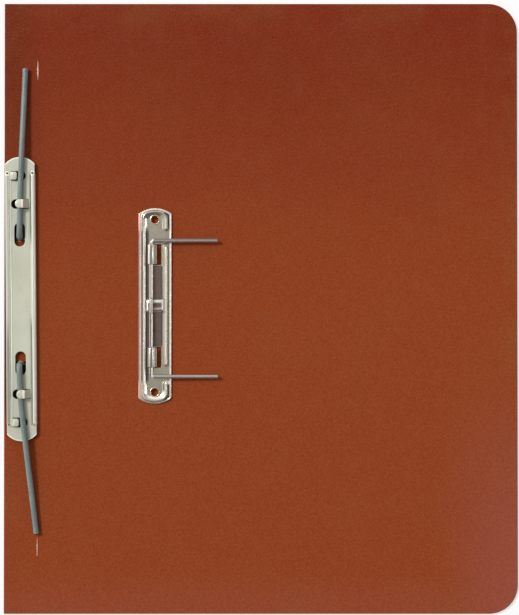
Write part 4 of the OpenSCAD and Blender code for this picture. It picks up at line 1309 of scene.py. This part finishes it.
class SPRINGFILE_OT_cover_bar(bpy.types.Operator):
    """Make the pressed cover bar with its rolled edges, slots and lanced hooks"""

    bl_idname = "spring_file.cover_bar"
    bl_label = "Cover bar"

    def execute(self, context):
        tin = finish_of("tinplate")
        roll, width = in_mm("roll_radius"), in_mm("hook_width")
        bar_top = BAR_LOW[2] + 2.4
        bar_z = bar_top - BAR_T
        hook_z, tab_z = BAR_HIGH[2] - BAR_T / 2, bar_top + 1.7
        loops = [densified(round_ended(0, 0, BAR_W - 0.3, BAR_L, BAR_END_R, corner=0.5), step=0.8)]
        hole_w = width + 0.6
        for side in (-1, 1):
            loops.append(stadium(SLOT_X, side * SLOT_Y, SLOT_W, SLOT_L)[::-1])
            for x0, x1, y, round_left in ((-5.2, 5.3, INNER_Y, True), (-5.3, 3.4, OUTER_Y, False)):
                r_left, r_right = (hole_w / 2 - 0.02, 0.3) if round_left else (0.3, hole_w / 2 - 0.02)
                low, high = side * y - hole_w / 2, side * y + hole_w / 2
                corners = [(x0, low), (x1, low), (x1, high), (x0, high)]
                hole = eased(corners, [r_left, r_right, r_right, r_left], 10)
                loops.append(densified(hole, 0.8)[::-1])
        centre_x = BAR_W / 2 - roll
        foot = centre_x - math.sqrt(roll ** 2 - BAR_T ** 2)

        def sway(u, v):
            wave = 0.03 * np.sin(v * 0.11 + u * 0.2) * np.cos(v * 0.047) - 0.05 * smooth(5.5, 0.5, np.abs(u))
            deep = np.where(u > 0, 0.3, 0.3 * smooth(40.0, 0.0, v) * smooth(-60.0, -30.0, v))
            return wave - deep * np.exp(-((np.abs(u) - foot - 0.1) / 0.4) ** 2) * (np.abs(v) < ROLL_L / 2 + 1)

        def edge(u, v):
            return in_mm("bar_edge") * (0.5 if abs(u) < 6.5 and abs(v) < 78 else 1)

        parts = [sheet(loops, bar_z, bar_top, edge, grid=0.6, support=0.25, height=sway)]
        for side in (-1, 1):
            parts.append(self.rolled_edge(side * centre_x, bar_z, roll))
            parts.append(self.lip(side * (BAR_W / 2 - 0.4), bar_z))
        mid_z = bar_z + BAR_T / 2
        inner = bent_path([(6.0, mid_z), (5.2, mid_z), (1.9, hook_z), (-2.4, hook_z)], [0.8, 0.7])
        outer = bent_path([(-6.0, mid_z), (-5.2, mid_z), (-4.4, tab_z), (-1.5, tab_z)], [0.4, 0.5])
        inner_tab = bent_tab(inner, BAR_T, width, tip_r=width / 2 - 0.05, ease=0.24)
        outer_tab = bent_tab(outer, BAR_T, width - 0.4, tip_r=1.1, ease=0.24)
        for name, tab, y in (("inner_hooks", inner_tab, INNER_Y), ("outer_hooks", outer_tab, OUTER_Y)):
            parts.append(repeated(name, tab, (0, -y, 0), (0, 2 * y, 0), tin))
        verts, faces = together(parts)
        spots = verts.copy()
        cos, sin = math.cos(BAR_LEAN), math.sin(BAR_LEAN)
        verts[:, 0] = BAR_X + spots[:, 0] * cos - spots[:, 1] * sin
        verts[:, 1] = BAR_Y + spots[:, 0] * sin + spots[:, 1] * cos
        mesh = new_mesh("cover_bar_pressed", verts, faces)

        # Mostly painted light: highlights on the end arcs, the noses, the hook bends and the rolls, shade in
        # the nose pits and the grooves at the rolls' feet
        def bright(x, y, z):
            u = (x - BAR_X) * cos + (y - BAR_Y) * sin
            v = (y - BAR_Y) * cos - (x - BAR_X) * sin
            run = np.abs(v) < ROLL_L / 2
            reach = np.hypot(u, np.maximum(np.abs(v) - BAR_L / 2 + BAR_END_R, 0))
            ends = smooth(0.9, 0.2, BAR_END_R - reach) * (np.abs(v) > BAR_L / 2 - 7)
            nose = np.hypot(np.abs(u) - centre_x, np.abs(v) - ROLL_L / 2 - 0.1)
            noses = smooth(1.7, 1.3, nose) * smooth(0.5, 0.8, nose) * (z > bar_top) * np.where(v > 0, 1, 0.15)
            pits = smooth(0.8, 0.5, nose) * (z > bar_z + 0.3)
            bends = smooth(0.8, 0.4, np.abs(u - 1.9)) * (z > hook_z)
            rolls = 0.4 * smooth(foot + 0.5, foot + 0.9, u) * run
            middle_run = smooth(40.0, 28.0, v) * smooth(-18.0, -8.0, v)
            feet = 0.55 * smooth(0.55, 0.3, np.abs(u - foot - 0.1)) * run * (1 - middle_run)
            # Bands of painted highlight and shade across the left roll
            edge_marks = np.interp(u, [-8.5, -8.3, -7.1, -6.9, -5.6, -5.4, -4.9, -4.7],
                             [0, -0.25, -0.25, 0.4, 0.4, -0.3, -0.3, 0])
            # Bands of painted highlight and shade across the right roll
            middle = np.interp(u, [5.1, 5.3, 6.2, 6.4, 6.9, 7.5, 7.9, 8.1],
                               [0, 0.3, 0.4, 0.05, -0.2, -0.15, 0, 0.4])
            shade = np.interp(u, [-8.7, -8.4, -6.8, -6.5], [0, -0.4, -0.4, 0]) * smooth(-5.0, -30.0, v)
            edge_marks = (edge_marks + shade + middle * middle_run) * run * (z > bar_z + 0.3)
            marks = np.maximum.reduce([ends, noses, bends, rolls]) * (z > bar_z + 0.3)
            return marks + edge_marks - np.where(v > 0, 2.0, 0.4) * pits - 1.3 * feet

        mark_painted_light_and_wear(mesh, bright)
        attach(new_piece(mesh, tin, ("cover_bar",)), "binding_strip")
        return {"FINISHED"}

    def rolled_edge(self, x, z, r):
        """A rolled edge as half a capsule with a small pit in each nose."""
        half = ROLL_L / 2
        nose = half + r * np.sin(np.radians(np.linspace(0, 90, 15)))
        pit = np.linspace(half - 1.6, half, 12)[:-1]
        inner = np.linspace(-half, half, 60)[1:-1]
        ys = sorted({round(y, 4) for y in (*nose, *-nose, *inner, *pit, *-pit)})
        rings = []
        for y in ys:
            past = max(abs(y) - half, 0)
            size = math.sqrt(max(r * r - past * past, 0.0004))
            ring = upright(arc(0, 0, size, 0, 180, 28), x, y, z)
            gap = np.hypot(ring[:, 0] - x, abs(y) - half - 0.1)
            ring[:, 2] -= smooth(0.8, 0.35, gap) * (ring[:, 2] > z + 0.5)
            rings.append(ring)
        return loft(rings)

    def lip(self, x, z):
        """The lip that runs from a rolled edge down to the board."""
        end, rings = ROLL_L / 2, []
        for y, grow in ((-end, 0.5), (0.2 - end, 1), (0, 1), (end - 0.2, 1), (end, 0.5)):
            low, high = PANEL_TOP + 0.02 + 0.2 * (1 - grow), z + 0.35
            half = 0.4 * grow
            plan = eased([(half, high), (-half, high), (-half, low), (half, low)], [0, 0, 0.15, 0.15], 3)
            rings.append(upright(plan, x, y, 0))
        return loft(rings)


# Reach of a tube from its slot to its tip, radius of its bend, and height of its axis
TUBE_REACH, TUBE_BEND, AXIS_Z = 100.0, 3.0, PANEL_TOP + 4.15
# Name, run from the slot to the flex, and lean in degrees before and after the flex
TUBE_RUNS = (("upper", 24.6, 0.8, 2.1), ("lower", 22.0, 2.6, 6.6))


def heading(lean, side):
    """Level direction of a tube that runs up or down the file and leans by an angle in degrees."""
    turn = math.radians(lean)
    return np.array([math.sin(turn), side * math.cos(turn), 0])


class SPRINGFILE_OT_tubes(bpy.types.Operator):
    """Make the two hollow tubes that come through the board, bend over the bar and lie under its hooks"""

    bl_idname = "spring_file.tubes"
    bl_label = "Tubes"

    def execute(self, context):
        plastic = finish_of("grey_tube")
        for (x, y, side), (name, flex, root_lean, free_lean) in zip(tube_places(), TUBE_RUNS):
            path, across = self.route(x, y, side, flex, root_lean, free_lean)
            mesh = new_mesh(f"{name}_tube_whole", *self.hollow(path, across))
            piece = new_piece(mesh, plastic, (f"{name}_tube_root", f"{name}_tube"))
            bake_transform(piece)
        return {"FINISHED"}

    def route(self, x, y, side, flex, root_lean, free_lean):
        """Centre line of a tube and the level direction across it at each point."""
        low = AXIS_Z - TUBE_BEND
        way = heading(root_lean, side)
        points = [(x, y, z) for z in np.linspace(PANEL_Z + 0.1, low, 6)]
        for a in np.radians(np.linspace(0, 90, 13)[1:]):
            out = TUBE_BEND * (1 - math.cos(a))
            points.append((x + way[0] * out, y + way[1] * out, low + TUBE_BEND * math.sin(a)))
        ways = [way] * len(points)
        spot, step, run = np.array([*points[-1][:2], 0]), 1.0, TUBE_BEND
        while run < TUBE_REACH - 1e-6:
            move = min(step, TUBE_REACH - run)
            run += move
            way = heading(root_lean + (free_lean - root_lean) * smooth(flex - 8, flex + 10, run), side)
            spot = spot + way * move
            drop = in_mm("tube_droop") * smooth(flex + 16, TUBE_REACH - 4, run)
            points.append((spot[0], spot[1], AXIS_Z - drop))
            ways.append(way)
        level = np.array([(w[1] * side, -w[0] * side, 0) for w in ways])
        return np.array(points), level

    def hollow(self, path, across):
        """Skin of a hollow tube, open at its tip and a little flattened in its bend."""
        ahead = np.gradient(path, axis=0)
        ahead /= np.linalg.norm(ahead, axis=1)[:, None]
        up = np.cross(across, ahead)
        turn = np.linspace(0, 2 * math.pi, 28, endpoint=False)
        outer, bore = in_mm("tube_diameter") / 2, in_mm("tube_bore") / 2
        wall = outer - bore
        tight = np.exp(-((np.arange(len(path)) - 11) / 5.0) ** 2)

        def ring(i, r, shift=0.0):
            wide, tall = r * (1 + 0.09 * tight[i]), r * (1 - 0.16 * tight[i])
            middle = path[i] + ahead[i] * shift
            out = middle + np.outer(np.cos(turn), across[i] * wide)
            return out + np.outer(np.sin(turn), up[i] * tall)

        last = len(path) - 1
        rings = [ring(i, outer) for i in range(last)]
        for a in np.radians(np.linspace(0, 180, 7)):
            r = bore + wall / 2 + wall / 2 * math.cos(a)
            rings.append(ring(last, r, wall / 2 * math.sin(a) - wall / 2))
        rings += [ring(i, bore) for i in range(last - 1, last - 14, -1)]
        return loft(rings)


class SPRINGFILE_OT_anchor(bpy.types.Operator):
    """Give the anchor strip and pegs under the binding strip their finish"""

    bl_idname = "spring_file.anchor"
    bl_label = "Anchor strip and pegs"

    def execute(self, context):
        steel = finish_of("plain_steel")
        for node in ("anchor_strip", "upper_peg", "lower_peg"):
            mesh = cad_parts[node].data
            mesh.materials.clear()
            mesh.materials.append(steel)
        return {"FINISHED"}


# Stage

CAMERA_HEIGHT = 1000.0
CAMERA_TILT = math.radians(0.7)
VIEW_CENTRE = (-0.74, 0.42)
VIEW_H = 363.0
SENSOR = 36.0
# Half the floor's side and its place under the file, in metres
FLOOR_HALF, FLOOR_Z = 4.0, -0.00005
# Name, direction, strength and spread in degrees
LAMPS = (
    ("key", (-0.66, 0.42, 0.82), 2.25, 13.0),
    ("fill", (0.45, -0.75, 0.9), 0.04, 50.0),
    ("side", (0.83, 0.05, 0.56), 0.3, 18.0),
)


class SPRINGFILE_OT_stage(bpy.types.Operator):
    """Make the pale floor, the studio lamps and dome, and the camera above the file"""

    bl_idname = "spring_file.stage"
    bl_label = "Stage"

    def execute(self, context):
        scene = context.scene
        scene.view_settings.view_transform = "Standard"
        self.floor()
        self.dome(scene)
        for lamp in LAMPS:
            self.lamp(*lamp)
        camera = bpy.data.cameras.new("camera")
        camera.sensor_width = SENSOR
        camera.lens = SENSOR * CAMERA_HEIGHT / VIEW_H
        camera.clip_start, camera.clip_end = 0.05, 20.0
        place = bpy.data.objects.new("camera", camera)
        back, up = CAMERA_HEIGHT * math.sin(CAMERA_TILT), CAMERA_HEIGHT * math.cos(CAMERA_TILT)
        place.location = metres(VIEW_CENTRE[0], VIEW_CENTRE[1] - back, PANEL_TOP + up)
        place.rotation_euler = (CAMERA_TILT, 0, 0)
        scene.collection.objects.link(place)
        scene.camera = place
        return {"FINISHED"}

    def floor(self):
        """A wide pale floor that shows as white but keeps shadows."""
        mesh = bpy.data.meshes.new("floor")
        corners = [(x * FLOOR_HALF, y * FLOOR_HALF, FLOOR_Z) for x, y in ((-1, -1), (1, -1), (1, 1), (-1, 1))]
        mesh.from_pydata(corners, [], [(0, 1, 2, 3)])
        material = bpy.data.materials.new("pale_floor")
        n = emptied(material)
        matt = n.add("ShaderNodeBsdfDiffuse", {"Color": rgba(colours().floor)})
        glow = n.add("ShaderNodeEmission", {"Color": (1, 1, 1, 1), "Strength": 1.0})
        light = n.add("ShaderNodeLightPath").outputs
        seen = n.math("MAXIMUM", light["Is Camera Ray"], light["Is Glossy Ray"])
        seen = n.math("MAXIMUM", seen, light["Is Transmission Ray"])
        share = n.math("MULTIPLY", seen, 0.6)
        both = n.add("ShaderNodeMixShader", {0: share, 1: matt.outputs[0], 2: glow.outputs[0]})
        n.add("ShaderNodeOutputMaterial", {"Surface": both.outputs[0]})
        mesh.materials.append(material)
        floor = bpy.data.objects.new("floor", mesh)
        bpy.context.scene.collection.objects.link(floor)

    def dome(self, scene):
        """White at the horizon, softer overhead, brighter towards the key light."""
        world = bpy.data.worlds.new("studio")
        scene.world = world
        n = emptied(world)
        way = n.add("ShaderNodeTexCoord").outputs["Generated"]
        height = n.add("ShaderNodeSeparateXYZ", {0: way}).outputs["Z"]
        facing = n.add("ShaderNodeVectorMath", {0: way, 1: (LIGHT_X, LIGHT_Y, 0.0)}, operation="DOT_PRODUCT")
        towards = facing.outputs["Value"]
        overhead = n.span(height, 0.35, 0.98, 0.54, 0.42)
        sided = n.math("MULTIPLY", overhead, n.span(towards, -0.6, 0.6, 0.2, 1.85))
        rise = n.span(height, 0.02, 0.2)
        level = n.add("ShaderNodeMix", {0: rise, 2: 1.0, 3: sided}, data_type="FLOAT").outputs[0]
        back = n.add("ShaderNodeBackground", {"Color": (1, 0.99, 0.975, 1), "Strength": level})
        n.add("ShaderNodeOutputWorld", {"Surface": back.outputs[0]})

    def lamp(self, name, way, strength, spread):
        """A soft lamp far away in the given direction."""
        lamp = bpy.data.lights.new(name, "SUN")
        lamp.energy = strength
        lamp.angle = math.radians(spread)
        place = bpy.data.objects.new(name, lamp)
        place.rotation_mode = "QUATERNION"
        place.rotation_quaternion = Vector(way).to_track_quat("Z", "Y")
        place.location = Vector(way)
        bpy.context.scene.collection.objects.link(place)


OPERATORS = (
    SPRINGFILE_OT_stage, SPRINGFILE_OT_boards, SPRINGFILE_OT_spring_plate, SPRINGFILE_OT_eyelets,
    SPRINGFILE_OT_leaf_spring, SPRINGFILE_OT_prong_wire, SPRINGFILE_OT_cover_bar, SPRINGFILE_OT_tubes,
    SPRINGFILE_OT_anchor,
)


class SPRINGFILE_PT_panel(bpy.types.Panel):
    """Lists the pieces and the sizes and colours they use"""

    bl_idname = "SPRINGFILE_PT_panel"
    bl_label = "Spring File"
    bl_space_type = "VIEW_3D"
    bl_region_type = "UI"
    bl_category = "Spring File"

    def draw(self, context):
        for operator in OPERATORS:
            self.layout.operator(operator.bl_idname)
        for title, group in (("Sizes", sizes()), ("Colours", colours())):
            box = self.layout.box()
            box.label(text=title)
            for name in type(group).__annotations__:
                box.prop(group, name)


CLASSES = (SpringFileSizes, SpringFileColours, *OPERATORS, SPRINGFILE_PT_panel)


def register():
    for made in CLASSES:
        bpy.utils.register_class(made)
    bpy.types.Scene.spring_file_sizes = PointerProperty(type=SpringFileSizes)
    bpy.types.Scene.spring_file_colours = PointerProperty(type=SpringFileColours)


def unregister():
    del bpy.types.Scene.spring_file_colours
    del bpy.types.Scene.spring_file_sizes
    for made in reversed(CLASSES):
        bpy.utils.unregister_class(made)


def main():
    register()
    for operator in OPERATORS:
        group, name = operator.bl_idname.split(".")
        getattr(getattr(bpy.ops, group), name)()


if __name__ == "__main__":
    main()
